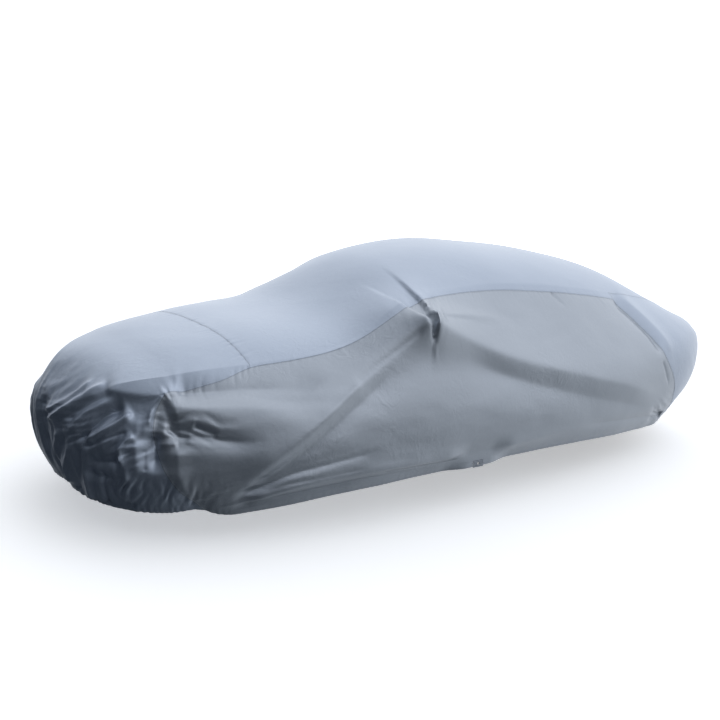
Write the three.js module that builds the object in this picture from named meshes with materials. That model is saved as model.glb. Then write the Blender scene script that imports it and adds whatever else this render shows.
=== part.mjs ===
import * as THREE from 'three';

// A fitted car cover of thin coated cloth, in millimetres.
// The body below is written in the car's own frame: x from front to rear, y to the right,
// z up from the ground. The whole group is then moved so that the seat under the roof is the origin.

const SHEET = 2;                       // thickness of the cloth
const SEAM_BACK = 0.3;                 // how far every cut edge stands back from its seam line
const SEAT = { x: 300, y: 0 };         // where the roof holds the cover up
const PEAK = 826;                      // distance round the belt to the front corner peak
const TAIL = 4420;                     // distance round the belt to the rear corner
const BONNET_SEAM = 1235;              // distance round the belt to the seam across the bonnet
const BOW_FRONT = 430;                 // how far along the sides the nose's curve fades out
const BOW_REAR = 900;                  // how far along the sides the boot's curve fades out
const RIB_START = 120;                 // how far inside the edge each rib's curve starts
const MIRROR_ROUND = 0.22;             // roundness of the tip over a mirror, as a share of its width
const WAIST = 420;                     // height that all outward directions lead away from

// Sections along the top: height at the middle, half width of the edge seam, its height, fullness.
const TOP_SECTIONS = [
  { x: -2400, mid: 560, half: 700, edge: 500, full: 2.4 },
  { x: -2200, mid: 780, half: 715, edge: 680, full: 2.4 },
  { x: -1900, mid: 920, half: 730, edge: 780, full: 2.6 },
  { x: -1450, mid: 1020, half: 720, edge: 860, full: 2.8 },
  { x: -950, mid: 1085, half: 725, edge: 950, full: 2.6 },
  { x: -350, mid: 1350, half: 615, edge: 1170, full: 2.4 },
  { x: 100, mid: 1415, half: 600, edge: 1240, full: 2.6 },
  { x: 600, mid: 1390, half: 615, edge: 1215, full: 2.6 },
  { x: 1100, mid: 1330, half: 615, edge: 1135, full: 2.6 },
  { x: 1650, mid: 1195, half: 630, edge: 1000, full: 2.6 },
  { x: 2050, mid: 1010, half: 650, edge: 925, full: 2.6 },
  { x: 2400, mid: 865, half: 645, edge: 860, full: 2.4 },
];

// Level outlines of the skirt: reach to front and rear, half width, squareness, three heights.
const RINGS = {
  edge: { front: 2340, rear: 2405, square: 2.6 },
  belt: { front: 2360, rear: 2565, half: 955, square: 3.0, zFront: 530, zMid: 735, zRear: 800 },
  sill: { front: 2330, rear: 2560, half: 1012, square: 2.9, zFront: 300, zMid: 385, zRear: 460 },
  hem: { front: 2265, rear: 2375, half: 950, square: 2.9, zFront: 170, zMid: 240, zRear: 245 },
};
const KNOTS = [-13, 0, 19, 39, 51];    // spacing of top, edge, belt, sill and hem down a rib

// Seam lines in skirt terms: a is the distance round the belt, t runs 0 at the edge to 1 at the hem.
const FRONT_SEAM = [[0.13, 826], [0.2, 775], [0.3, 745], [0.5, 750], [0.75, 820], [1, 930]];
const REAR_SEAM = [[0.06, 4420], [0.16, 4454], [0.27, 4488], [0.44, 4525], [0.63, 4650], [1, 4890]];
const SIDE_SEAM = [[826, 0.13], [950, 0.115], [1110, 0.085], [1235, 0.03], [1400, 0.02], [2450, 0.02],
  [2767, 0.03], [3193, 0.04], [3738, 0.045], [4420, 0.06]];

// How far the hem hangs below its level outline, by distance round the belt: it dips where the
// elastic gathers it at the wheels. The dip fades out upwards, and is gone at DIP_FROM.
const HEM_DIP = [[0, 2], [180, 16], [400, 16], [620, 24], [760, 22], [920, 10], [1000, 38], [1065, 48],
  [1180, 44], [1430, 30], [1650, 15], [1975, 6], [2320, 0], [3900, 0], [4250, 16], [4620, 34], [4830, 44],
  [4980, 4], [5100, 0], [5950, 0]];
const DIP_FROM = 0.6;
const FRONT_TOP = FRONT_SEAM[0][0], REAR_TOP = REAR_SEAM[0][0];

// Where the cloth is pushed out by a door mirror: sharp tip, then a broad skirt round it.
const MIRRORS = [
  { side: 'left', x: -490, z: 1012, tip: 98, tipX: 125, tipZ: 85, broad: 44, broadX: 420, broadZ: 210 },
  { side: 'right', x: -500, z: 915, tip: 62, tipX: 120, tipZ: 88, broad: 20, broadX: 360, broadZ: 180 },
];

// Folds. Each follows a route in its own view; lift is its height at start and end (minus is a
// trough); up and down are its widths above and below the route; ease is the faded length at the ends.
const FOLDS = [
  { view: 'left', lift: [46, 16], up: 190, down: 72, ease: [0.02, 0.2],
    route: [[-500, 1000], [-650, 945], [-870, 850], [-1110, 735], [-1350, 590], [-1560, 445], [-1700, 320]] },
  { view: 'left', lift: [-14, -20], up: 40, down: 60, ease: [0.2, 0.2],
    route: [[-720, 860], [-930, 755], [-1150, 640], [-1360, 500], [-1550, 375], [-1690, 265]] },
  { view: 'left', lift: [24, 9], up: 75, down: 45, ease: [0.05, 0.3],
    route: [[-500, 1020], [-700, 965], [-930, 893], [-1180, 826], [-1350, 776]] },
  { view: 'left', lift: [58, 18], up: 230, down: 90, ease: [0.02, 0.25],
    route: [[-480, 1005], [-250, 955], [150, 835], [700, 705], [1250, 570], [1640, 440]] },
  { view: 'left', lift: [-22, -8], up: 60, down: 120, ease: [0.15, 0.3],
    route: [[-300, 880], [150, 735], [700, 585], [1250, 445], [1560, 360]] },
  { view: 'left', lift: [14, 6], up: 40, down: 28, ease: [0.05, 0.4],
    route: [[-470, 1035], [-300, 1062], [-16, 1066], [160, 1052]] },
  { view: 'left', lift: [12, 8], up: 26, down: 26, ease: [0.1, 0.4],
    route: [[-470, 1040], [-435, 1110], [-380, 1190]] },
  { view: 'left', lift: [-22, -14], up: 45, down: 38, ease: [0.1, 0.4],
    route: [[-1960, 783], [-1824, 796], [-1629, 806], [-1480, 803], [-1235, 794]] },
  { view: 'left', lift: [40, 14], up: 62, down: 85, ease: [0.1, 0.4],
    route: [[-2010, 715], [-1870, 712], [-1680, 715], [-1450, 700], [-1250, 690]] },
  { view: 'left', lift: [-30, -12], up: 45, down: 60, ease: [0.15, 0.35],
    route: [[-2035, 640], [-1927, 618], [-1821, 590], [-1690, 570], [-1540, 575]] },
  { view: 'left', lift: [-20, -10], up: 34, down: 26, ease: [0.1, 0.4],
    route: [[-1720, 245], [-1480, 362], [-1272, 408], [-1036, 442], [-880, 470]] },
  { view: 'left', lift: [20, 16], up: 60, down: 40, ease: [0.1, 0.3],
    route: [[-1700, 215], [-1450, 300], [-1180, 340], [-800, 352], [-300, 350], [300, 362], [900, 395]] },
  { view: 'left', lift: [-16, -6], up: 20, down: 24, ease: [0.1, 0.3],
    route: [[-1712, 205], [-1512, 241], [-1179, 268], [-960, 290], [-651, 286], [-420, 282]] },
  { view: 'left', lift: [-10, -14], up: 40, down: 34, ease: [0.3, 0.1],
    route: [[700, 385], [1000, 355], [1300, 325], [1770, 274]] },
  { view: 'left', lift: [-24, -20], up: 44, down: 40, ease: [0.15, 0.2],
    route: [[1330, 1090], [1446, 988], [1553, 862], [1612, 735]] },
  { view: 'left', lift: [18, 14], up: 80, down: 60, ease: [0.2, 0.3],
    route: [[1420, 1100], [1560, 985], [1680, 840], [1760, 690]] },
  { view: 'corner', lift: [26, 14], up: 34, down: 34, ease: [0.05, 0.4],
    route: [[-1200, 778], [-1262, 712], [-1287, 637], [-1290, 560]] },
  { view: 'corner', lift: [-52, -40], up: 58, down: 58, ease: [0.25, 0.3],
    route: [[-1240, 620], [-1238, 520], [-1228, 390]] },
  { view: 'corner', lift: [-34, -30], up: 46, down: 46, ease: [0.25, 0.25],
    route: [[-1600, 395], [-1495, 425], [-1395, 435]] },
  { view: 'corner', lift: [22, 20], up: 40, down: 34, ease: [0.2, 0.2],
    route: [[-1330, 600], [-1395, 515], [-1378, 420], [-1340, 290]] },
  { view: 'corner', lift: [26, 20], up: 60, down: 60, ease: [0.2, 0.2],
    route: [[-1330, 700], [-1325, 540], [-1310, 380]] },
  { view: 'corner', lift: [18, 14], up: 42, down: 42, ease: [0.2, 0.2],
    route: [[-1525, 785], [-1650, 695], [-1790, 590], [-1900, 490]] },
  { view: 'corner', lift: [-24, -22], up: 42, down: 42, ease: [0.2, 0.2],
    route: [[-1400, 715], [-1495, 665], [-1590, 575], [-1640, 460]] },
  { view: 'corner', lift: [24, 18], up: 56, down: 34, ease: [0.2, 0.2],
    route: [[-1350, 690], [-1455, 612], [-1620, 500]] },
  { view: 'corner', lift: [22, 12], up: 60, down: 60, ease: [0.2, 0.2],
    route: [[-1120, 560], [-1110, 420], [-1060, 260]] },
  { view: 'right', lift: [26, 12], up: 120, down: 75, ease: [0.05, 0.2],
    route: [[-510, 900], [-700, 840], [-960, 740], [-1280, 590], [-1600, 390]] },
  { view: 'right', lift: [30, 20], up: 150, down: 85, ease: [0.05, 0.2],
    route: [[-490, 900], [-200, 860], [250, 760], [850, 630], [1500, 460]] },
  { view: 'right', lift: [-50, -30], up: 190, down: 130, ease: [0.3, 0.3],
    route: [[-1150, 960], [-900, 1020], [-620, 1110], [-350, 1210]] },
  { view: 'right', lift: [-22, -18], up: 60, down: 110, ease: [0.15, 0.25],
    route: [[-250, 860], [260, 700], [850, 545], [1450, 390]] },
  { view: 'right', lift: [18, 15], up: 55, down: 40, ease: [0.15, 0.3],
    route: [[-1650, 220], [-1200, 320], [-500, 345], [300, 352], [1000, 392]] },
  { view: 'right', lift: [-20, -12], up: 45, down: 40, ease: [0.1, 0.4],
    route: [[-1940, 780], [-1700, 802], [-1430, 798]] },
  { view: 'front', lift: [-22, -16], up: 60, down: 60, ease: [0.2, 0.2],
    route: [[140, 640], [90, 500], [110, 300]] },
  { view: 'front', lift: [18, 14], up: 70, down: 70, ease: [0.2, 0.2],
    route: [[420, 650], [480, 480], [430, 260]] },
  { view: 'front', lift: [-24, -18], up: 60, down: 60, ease: [0.2, 0.2],
    route: [[600, 640], [610, 460], [560, 250]] },
  { view: 'rear', lift: [24, 14], up: 90, down: 90, ease: [0.2, 0.2],
    route: [[-480, 800], [-520, 600], [-430, 330]] },
  { view: 'rear', lift: [-20, -14], up: 80, down: 80, ease: [0.2, 0.2],
    route: [[-120, 780], [-60, 560], [-140, 300]] },
  { view: 'rear', lift: [20, 14], up: 90, down: 90, ease: [0.2, 0.2],
    route: [[360, 790], [420, 560], [330, 320]] },
];

// Horizontal axis and facing direction of each view.
const TURN = 38 * Math.PI / 180;
const VIEWS = {
  left: { across: [1, 0], faces: [0, -1, 0] },
  right: { across: [1, 0], faces: [0, 1, 0] },
  front: { across: [0, 1], faces: [-1, 0, 0] },
  rear: { across: [0, 1], faces: [1, 0, 0] },
  corner: { across: [Math.cos(TURN), -Math.sin(TURN)], faces: [-Math.sin(TURN), -Math.cos(TURN), 0] },
};

// The tie tab at the middle of each side hem, and the eyelet in it.
const TAB = { x: -150, y: 985, width: 82, height: 42, low: 240, gap: 0.4, flatX: 80, easeX: 270,
  flatZ: 75, easeZ: 210 };
const EYELET = { up: 22, hole: 8.4, barrel: 7.9, bore: 5.5, flange: 12, plate: 1.2, gap: 0.3, sides: 24 };

// Mesh counts along and across each piece.
const COUNT = { across: 28, down: 13, nose: 6, top: 31 };

const clamp = (v) => Math.min(1, Math.max(0, v));
const smooth = (a, b, v) => { const t = clamp((v - a) / (b - a)); return t * t * (3 - 2 * t); };
const mix = (a, b, t) => a + (b - a) * t;
const power = (c, n) => Math.sign(c) * Math.abs(c) ** (2 / n);
const dot = (a, b) => a[0] * b[0] + a[1] * b[1] + a[2] * b[2];
const add = (a, b, k) => [a[0] + b[0] * k, a[1] + b[1] * k, a[2] + b[2] * k];
const sub = (a, b) => add(a, b, -1);
const cross = (a, b) => [a[1] * b[2] - a[2] * b[1], a[2] * b[0] - a[0] * b[2], a[0] * b[1] - a[1] * b[0]];
const unit = (a) => { const l = Math.hypot(...a) || 1; return [a[0] / l, a[1] / l, a[2] / l]; };

// Smooth curve through rows of values at rising keys.
function curve(keys, rows) {
  const last = keys.length - 1;
  const slope = rows.map((row, i) => row.map((_, k) => {
    const step = (j) => (rows[j + 1][k] - rows[j][k]) / (keys[j + 1] - keys[j]);
    if (i === 0) return step(0);
    if (i === last) return step(last - 1);
    const before = keys[i] - keys[i - 1], after = keys[i + 1] - keys[i];
    return (after * step(i - 1) + before * step(i)) / (before + after);
  }));
  return (at) => {
    let i = 0;
    while (i < last - 1 && at >= keys[i + 1]) i += 1;
    const h = keys[i + 1] - keys[i], t = (at - keys[i]) / h;
    const a = 2 * t ** 3 - 3 * t ** 2 + 1, b = (t ** 3 - 2 * t ** 2 + t) * h;
    const c = 3 * t ** 2 - 2 * t ** 3, d = (t ** 3 - t ** 2) * h;
    return rows[i].map((v, k) => a * v + b * slope[i][k] + c * rows[i + 1][k] + d * slope[i + 1][k]);
  };
}

const sectionCurve = curve(TOP_SECTIONS.map((s) => s.x),
  TOP_SECTIONS.map((s) => [s.mid, s.half, s.edge, s.full]));
const sectionAt = (x) => sectionCurve(Math.min(2400, Math.max(-2400, x)));

function topHeight(x, y) {
  const [mid, half, edge, full] = sectionAt(x);
  return mid - (mid - edge) * Math.abs(y / half) ** full;
}

// A point on a level outline; the angle runs 0 at the front middle to pi at the rear middle.
function ringPoint(name, angle) {
  const r = RINGS[name], c = Math.cos(angle), s = Math.max(0, Math.sin(angle));
  const x = -(c > 0 ? r.front : r.rear) * power(c, r.square);
  if (name === 'edge') {
    const y = -sectionAt(x)[1] * power(s, r.square);
    return [x, y, topHeight(x, y)];
  }
  const f = x / (x < 0 ? r.front : r.rear);
  return [x, -r.half * power(s, r.square), r.zMid + ((f < 0 ? r.zFront : r.zRear) - r.zMid) * f * f];
}

// Distance round the belt, so that ribs are spaced evenly.
const WALK = (() => {
  const angles = [0], lengths = [0];
  let last = ringPoint('belt', 0);
  for (let i = 1; i <= 2000; i += 1) {
    const p = ringPoint('belt', Math.PI * i / 2000);
    angles.push(Math.PI * i / 2000);
    lengths.push(lengths[i - 1] + Math.hypot(p[0] - last[0], p[1] - last[1]));
    last = p;
  }
  return { angles, lengths, half: lengths[2000] };
})();

function angleAt(a) {
  const d = Math.min(WALK.half, Math.max(0, a));
  let low = 0, high = 2000;
  while (high - low > 1) {
    const m = (low + high) >> 1;
    if (WALK.lengths[m] <= d) low = m; else high = m;
  }
  const t = (d - WALK.lengths[low]) / (WALK.lengths[high] - WALK.lengths[low]);
  return mix(WALK.angles[low], WALK.angles[high], t);
}

// The skirt's plain surface. Positive a is the left side, negative the right.
const ribs = new Map();
const table = (rows) => curve(rows.map((r) => r[0]), rows.map((r) => [r[1]]));
const hemDip = table(HEM_DIP);
function skirtBase(a, t) {
  const key = Math.abs(a);
  if (!ribs.has(key)) {
    const angle = angleAt(key);
    const [edge, belt, sill, hem] = ['edge', 'belt', 'sill', 'hem'].map((n) => ringPoint(n, angle));
    const out = unit([belt[0] - edge[0], belt[1] - edge[1], 0]);
    const inner = add(edge, out, -RIB_START);
    inner[2] = topHeight(inner[0], inner[1]);
    ribs.set(key, curve(KNOTS, [inner, edge, belt, sill, hem]));
  }
  const p = ribs.get(key)(t * KNOTS[4]);
  return [p[0], a < 0 ? -p[1] : p[1], p[2] - hemDip(key)[0] * smooth(DIP_FROM, 1, t)];
}
const topBase = (x, y) => [x, y, topHeight(x, y)];

// Folds as sampled routes.
const ROUTES = FOLDS.map((fold) => {
  const line = curve(fold.route.map((_, i) => i), fold.route);
  const points = [];
  for (let i = 0; i <= (fold.route.length - 1) * 8; i += 1) points.push(line(i / 8));
  const first = points[0], last = points[points.length - 1];
  let side = [-(last[1] - first[1]), last[0] - first[0]];
  const flip = Math.abs(side[1]) > 0.3 * Math.hypot(...side) ? Math.sign(side[1]) : Math.sign(side[0]);
  side = [side[0] * flip, side[1] * flip];
  return { ...fold, points, side };
});

function foldLift(fold, p, n) {
  const view = VIEWS[fold.view];
  const facing = smooth(0.1, 0.5, dot(view.faces, n));
  if (facing <= 0) return 0;
  const u = p[0] * view.across[0] + p[1] * view.across[1], w = p[2];
  let best = Infinity, along = 0, above = 0;
  const { points } = fold;
  for (let i = 0; i + 1 < points.length; i += 1) {
    const [ax, az] = points[i], bx = points[i + 1][0] - ax, bz = points[i + 1][1] - az;
    const t = clamp(((u - ax) * bx + (w - az) * bz) / (bx * bx + bz * bz));
    const dx = u - ax - bx * t, dz = w - az - bz * t, d = Math.hypot(dx, dz);
    if (d < best) {
      best = d;
      along = (i + t) / (points.length - 1);
      const turn = -bz * fold.side[0] + bx * fold.side[1] > 0 ? 1 : -1;
      above = (-bz * dx + bx * dz) * turn;
    }
  }
  const width = above > 0 ? fold.up : fold.down;
  if (best > 3 * width) return 0;
  const fade = smooth(0, Math.max(1e-6, fold.ease[0]), along)
    * smooth(0, Math.max(1e-6, fold.ease[1]), 1 - along);
  return facing * fade * mix(fold.lift[0], fold.lift[1], along) * Math.exp(-((best / width) ** 2));
}

function mirrorLift(m, p, n) {
  const facing = smooth(0.1, 0.5, dot(VIEWS[m.side].faces, n));
  const tip = Math.hypot((p[0] - m.x) / m.tipX, (p[2] - m.z) / m.tipZ, MIRROR_ROUND);
  const broad = ((p[0] - m.x) / m.broadX) ** 2 + ((p[2] - m.z) / m.broadZ) ** 2;
  return facing * (m.tip * Math.exp(MIRROR_ROUND - tip) + m.broad * Math.exp(-broad));
}



// The cloth's outer face: plain surface, pushed out or in along its normal, flat round the tie tabs.
function outer(base, u, v) {
  const e = 2, p = base(u, v);
  const du = sub(base(u + e * base.unitU, v), base(u - e * base.unitU, v));
  const dv = sub(base(u, v + e * base.unitV), base(u, v - e * base.unitV));
  let n = unit(cross(du, dv));
  if (dot(n, [p[0] * 0.25, p[1], p[2] - WAIST]) < 0) n = [-n[0], -n[1], -n[2]];
  let lift = 0;
  ROUTES.forEach((fold) => { lift += foldLift(fold, p, n); });
  MIRRORS.forEach((m) => { lift += mirrorLift(m, p, n); });
  const q = add(p, n, lift);
  const near = (1 - smooth(TAB.flatX, TAB.easeX, Math.abs(q[0] - TAB.x)))
    * (1 - smooth(TAB.low + TAB.flatZ, TAB.low + TAB.easeZ, q[2])) * (Math.abs(q[1]) > 700 ? 1 : 0);
  q[1] = mix(q[1], Math.sign(q[1]) * TAB.y, near);
  return q;
}
const skirtSurface = Object.assign((a, t) => skirtBase(a, t), { unitU: 1, unitV: 0.002 });
const topSurface = Object.assign((x, y) => topBase(x, y), { unitU: 1, unitV: 1 });

// A vertex: outer face point and its outward normal.
function vertex(base, u, v) {
  const p = outer(base, u, v), e = 4;
  const du = sub(outer(base, u + e * base.unitU, v), outer(base, u - e * base.unitU, v));
  const dv = sub(outer(base, u, v + e * base.unitV), outer(base, u, v - e * base.unitV));
  let n = unit(cross(du, dv));
  if (dot(n, [p[0] * 0.25, p[1], p[2] - 420]) < 0) n = [-n[0], -n[1], -n[2]];
  return { p, n };
}
const cache = new Map();
function skirtVertex(a, t) {
  const key = `s${a.toFixed(4)},${t.toFixed(6)}`;
  if (!cache.has(key)) cache.set(key, vertex(skirtSurface, a, t));
  return cache.get(key);
}
function topVertex(x, y) {
  const key = `t${x.toFixed(3)},${y.toFixed(3)}`;
  if (!cache.has(key)) cache.set(key, vertex(topSurface, x, y));
  return cache.get(key);
}

const frontSeam = table(FRONT_SEAM), rearSeam = table(REAR_SEAM), sideSeam = table(SIDE_SEAM);
const frontEdge = (t) => frontSeam(Math.max(0.13, t))[0];
const rearEdge = (t) => rearSeam(Math.max(0.06, t))[0];

// Quads of a rectangular grid of vertices.
function gridQuads(grid) {
  const quads = [];
  for (let i = 0; i + 1 < grid.length; i += 1) {
    for (let j = 0; j + 1 < grid[i].length; j += 1) {
      quads.push([grid[i][j], grid[i + 1][j], grid[i + 1][j + 1], grid[i][j + 1]]);
    }
  }
  return quads;
}
const steps = (n, make) => Array.from({ length: n + 1 }, (_, i) => make(i / n));

// Front face rows from hem to the nose line, across from left to right.
function frontFace() {
  const rows = steps(COUNT.down, (f) => mix(1, FRONT_TOP, f)).concat([0]);
  return gridQuads(rows.map((t) => steps(COUNT.across, (f) => skirtVertex(mix(1, -1, f) * frontEdge(t), t))));
}
function rearFace() {
  const rows = [0].concat(steps(COUNT.down, (f) => mix(REAR_TOP, 1, f)));
  return gridQuads(rows.map((t) => steps(COUNT.across, (f) => {
    const a = mix(rearEdge(t), 2 * WALK.half - rearEdge(t), f);
    return skirtVertex(a <= WALK.half ? a : a - 2 * WALK.half, t);
  })));
}

// One row over the top between the two edges, bowed at the nose and tail to meet their outlines.
function topRow(a, onEdge) {
  const bowFront = clamp(1 - (a - PEAK) / BOW_FRONT) ** 2, bowRear = clamp(1 - (TAIL - a) / BOW_REAR) ** 2;
  const side = skirtBase(a, 0);
  return steps(COUNT.across, (f) => {
    if (f === 0 || f === 1) return skirtVertex(f ? -a : a, 0);
    if (onEdge === 'front') return skirtVertex(mix(1, -1, f) * PEAK, 0);
    if (onEdge === 'rear') {
      const b = mix(TAIL, 2 * WALK.half - TAIL, f);
      return skirtVertex(b <= WALK.half ? b : b - 2 * WALK.half, 0);
    }
    const front = skirtBase(mix(1, -1, f) * PEAK, 0), frontCorner = skirtBase(PEAK, 0);
    const back = mix(TAIL, 2 * WALK.half - TAIL, f);
    const rear = skirtBase(back <= WALK.half ? back : back - 2 * WALK.half, 0);
    const rearCorner = skirtBase(TAIL, 0);
    const x = side[0] + bowFront * (front[0] - frontCorner[0]) + bowRear * (rear[0] - rearCorner[0]);
    const y = side[1] * (1 - 2 * f) + bowFront * (front[1] - frontCorner[1] * (1 - 2 * f))
      + bowRear * (rear[1] - rearCorner[1] * (1 - 2 * f));
    return topVertex(x, y);
  });
}
function edgeStrip(stations, sign) {
  return gridQuads(stations.map((a) => [0, sideSeam(a)[0]].map((t) => skirtVertex(sign * a, t))));
}
const noseStations = steps(COUNT.nose, (f) => mix(PEAK, BONNET_SEAM, f));
const roofStations = steps(COUNT.top, (f) => mix(BONNET_SEAM, TAIL, f));

function topFrontQuads() {
  const rows = noseStations.map((a, i) => topRow(a, i === 0 ? 'front' : ''));
  return [...frontFace(), ...gridQuads(rows), ...edgeStrip(noseStations, 1), ...edgeStrip(noseStations, -1)];
}
function topMainQuads() {
  const rows = roofStations.map((a, i) => topRow(a, i === COUNT.top ? 'rear' : ''));
  return [...gridQuads(rows), ...edgeStrip(roofStations, 1), ...edgeStrip(roofStations, -1)];
}

// Side panel: its top follows the edge stations so it shares every seam point with the top.
function sideGrid(sign) {
  const stations = [...noseStations, ...roofStations.slice(1)];
  return stations.map((top) => steps(COUNT.down, (f) => {
    const share = (top - PEAK) / (TAIL - PEAK);
    const a = mix(frontEdge(mix(FRONT_TOP, 1, f)), rearEdge(mix(REAR_TOP, 1, f)), share);
    return skirtVertex(sign * a, mix(sideSeam(top)[0], 1, f));
  }));
}

// Closes a sheet of quads into one solid: outer face, inner face and the rim round every free edge.
function solidFromQuads(quads, fixed) {
  const points = [], index = new Map();
  const indexOf = (v) => {
    const key = v.p.map((c) => c.toFixed(3)).join();
    if (!index.has(key)) { index.set(key, points.length); points.push({ p: [...v.p], n: v.n }); }
    return index.get(key);
  };
  let faces = quads.map((quad) => quad.map(indexOf));
  let facing = 0;
  faces.forEach(([a, b, c, d]) => {
    const m = cross(sub(points[c].p, points[a].p), sub(points[d].p, points[b].p));
    facing += dot(m, points[a].n);
  });
  if (facing < 0) faces = faces.map((f) => [...f].reverse());
  faces = faces.map((f) => orient(f, points));
  const rim = new Map();
  faces.forEach((f) => f.forEach((a, k) => {
    const b = f[(k + 1) % 4];
    if (rim.has(`${b},${a}`)) rim.delete(`${b},${a}`); else rim.set(`${a},${b}`, [a, b]);
  }));
  const pull = new Map();
  rim.forEach(([a, b]) => {
    const run = unit(sub(points[b].p, points[a].p));
    [a, b].forEach((k) => {
      const inward = unit(cross(points[k].n, run));
      pull.set(k, add(pull.get(k) || [0, 0, 0], inward, 1));
    });
  });
  pull.forEach((direction, k) => {
    const length = Math.hypot(...direction);
    if (length < 0.2 || fixed(points[k].p)) return;
    points[k].p = add(points[k].p, direction, (SEAM_BACK * 2) / (length * length) * Math.min(1, length));
  });
  const count = points.length, positions = [];
  points.forEach(({ p }) => positions.push(...p));
  points.forEach(({ p, n }) => positions.push(...add(p, n, -SHEET)));
  const triangles = [];
  faces.forEach(([a, b, c, d]) => {
    triangles.push(a, b, c, a, c, d);
    triangles.push(count + a, count + c, count + b, count + a, count + d, count + c);
  });
  rim.forEach(([a, b]) => { triangles.push(a, count + b, b, a, count + a, count + b); });
  return geometryOf(positions, triangles);
}
function orient(face, points) {
  const [a, b, c, d] = face;
  const m = cross(sub(points[c].p, points[a].p), sub(points[d].p, points[b].p));
  return dot(m, points[a].n) < 0 ? [...face].reverse() : face;
}
function geometryOf(positions, triangles) {
  const geometry = new THREE.BufferGeometry();
  geometry.setAttribute('position', new THREE.Float32BufferAttribute(positions, 3));
  geometry.setIndex(triangles);
  geometry.computeVertexNormals();
  return geometry;
}

function sideGeometry(sign) {
  const grid = sideGrid(sign), last = COUNT.down;
  let column = 0;
  grid.forEach((line, i) => {
    if (line[last].p[0] < TAB.x) column = i;
  });
  const y = -sign * TAB.y, n = [0, -sign, 0];
  [[column, -1], [column + 1, 1]].forEach(([i, way]) => {
    [[last, TAB.low], [last - 1, TAB.low + TAB.height]].forEach(([j, z]) => {
      grid[i][j] = { p: [TAB.x + way * TAB.width / 2, y, z], n, tab: true };
    });
  });
  const quads = [];
  for (let i = 0; i + 1 < grid.length; i += 1) {
    for (let j = 0; j < last; j += 1) {
      if (i === column && j === last - 1) continue;
      quads.push([grid[i][j], grid[i + 1][j], grid[i + 1][j + 1], grid[i][j + 1]]);
    }
  }
  const atTab = (p) => Math.abs(Math.abs(p[0] - TAB.x) - TAB.width / 2) < 0.01 && p[2] < TAB.low + TAB.height + 1
    && Math.abs(Math.abs(p[1]) - TAB.y) < 0.01;
  return solidFromQuads(quads, atTab);
}

// The tab: a flat strip with one round hole, hanging in the notch of the side hem.
function tabGeometry(sign) {
  const w = TAB.width / 2 - TAB.gap, h = TAB.height - TAB.gap, each = 6;
  const corners = [[-w, 0], [w, 0], [w, h], [-w, h]];
  const rim = [];
  corners.forEach((c, k) => {
    const d = corners[(k + 1) % 4];
    for (let i = 0; i < each; i += 1) rim.push([mix(c[0], d[0], i / each), mix(c[1], d[1], i / each)]);
  });
  const positions = [], triangles = [], count = rim.length;
  const faceY = [-sign * TAB.y, -sign * (TAB.y - SHEET)];
  faceY.forEach((y) => {
    rim.forEach(([x, z]) => positions.push(TAB.x + x, y, TAB.low + z));
    rim.forEach(([x, z]) => {
      const l = Math.hypot(x, z - EYELET.up) / EYELET.hole;
      positions.push(TAB.x + x / l, y, TAB.low + EYELET.up + (z - EYELET.up) / l);
    });
  });
  const inside = count, back = 2 * count;
  for (let i = 0; i < count; i += 1) {
    const j = (i + 1) % count;
    triangles.push(i, j, inside + j, i, inside + j, inside + i);
    triangles.push(back + i, back + inside + j, back + j, back + i, back + inside + i, back + inside + j);
    triangles.push(i, back + j, j, i, back + i, back + j);
    triangles.push(inside + i, inside + j, back + inside + j, inside + i, back + inside + j, back + inside + i);
  }
  return geometryOf(positions, sign > 0 ? triangles : flipped(triangles));
}
function flipped(triangles) {
  const out = [];
  for (let i = 0; i < triangles.length; i += 3) out.push(triangles[i], triangles[i + 2], triangles[i + 1]);
  return out;
}

// The eyelet: a barrel through the tab with a flat flange on each face.
function eyeletGeometry(sign) {
  const { bore, barrel, flange, plate, gap, sides } = EYELET;
  const profile = [[bore, -gap - plate], [flange, -gap - plate], [flange, -gap], [barrel, -gap],
    [barrel, SHEET + gap], [flange, SHEET + gap], [flange, SHEET + gap + plate], [bore, SHEET + gap + plate]];
  const positions = [], triangles = [], count = profile.length;
  for (let k = 0; k < sides; k += 1) {
    const angle = 2 * Math.PI * k / sides;
    profile.forEach(([r, depth]) => positions.push(TAB.x + r * Math.cos(angle), -sign * (TAB.y - depth),
      TAB.low + EYELET.up + r * Math.sin(angle)));
  }
  for (let k = 0; k < sides; k += 1) {
    for (let i = 0; i < count; i += 1) {
      const a = k * count + i, b = k * count + (i + 1) % count;
      const c = ((k + 1) % sides) * count + (i + 1) % count, d = ((k + 1) % sides) * count + i;
      triangles.push(a, b, c, a, c, d);
    }
  }
  return geometryOf(positions, triangles);
}

// Turns a closed mesh inside out when its signed volume is negative.
function outward(geometry) {
  const p = geometry.getAttribute('position').array, list = Array.from(geometry.getIndex().array);
  let volume = 0;
  for (let i = 0; i < list.length; i += 3) {
    const [a, b, c] = [0, 1, 2].map((k) => Array.from(p.slice(list[i + k] * 3, list[i + k] * 3 + 3)));
    volume += dot(a, cross(b, c));
  }
  if (volume < 0) geometry.setIndex(flipped(list));
  geometry.computeVertexNormals();
  return geometry;
}

const seatHeight = topHeight(SEAT.x, SEAT.y) - SHEET;
const cloth = (colour) => new THREE.MeshStandardMaterial({ color: colour, roughness: 0.45, metalness: 0.25 });
const metal = () => new THREE.MeshStandardMaterial({ color: 0xc9ccd0, roughness: 0.3, metalness: 1 });

function mesh(name, geometry, material) {
  const item = new THREE.Mesh(outward(geometry), material);
  item.name = name;
  return item;
}

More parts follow.
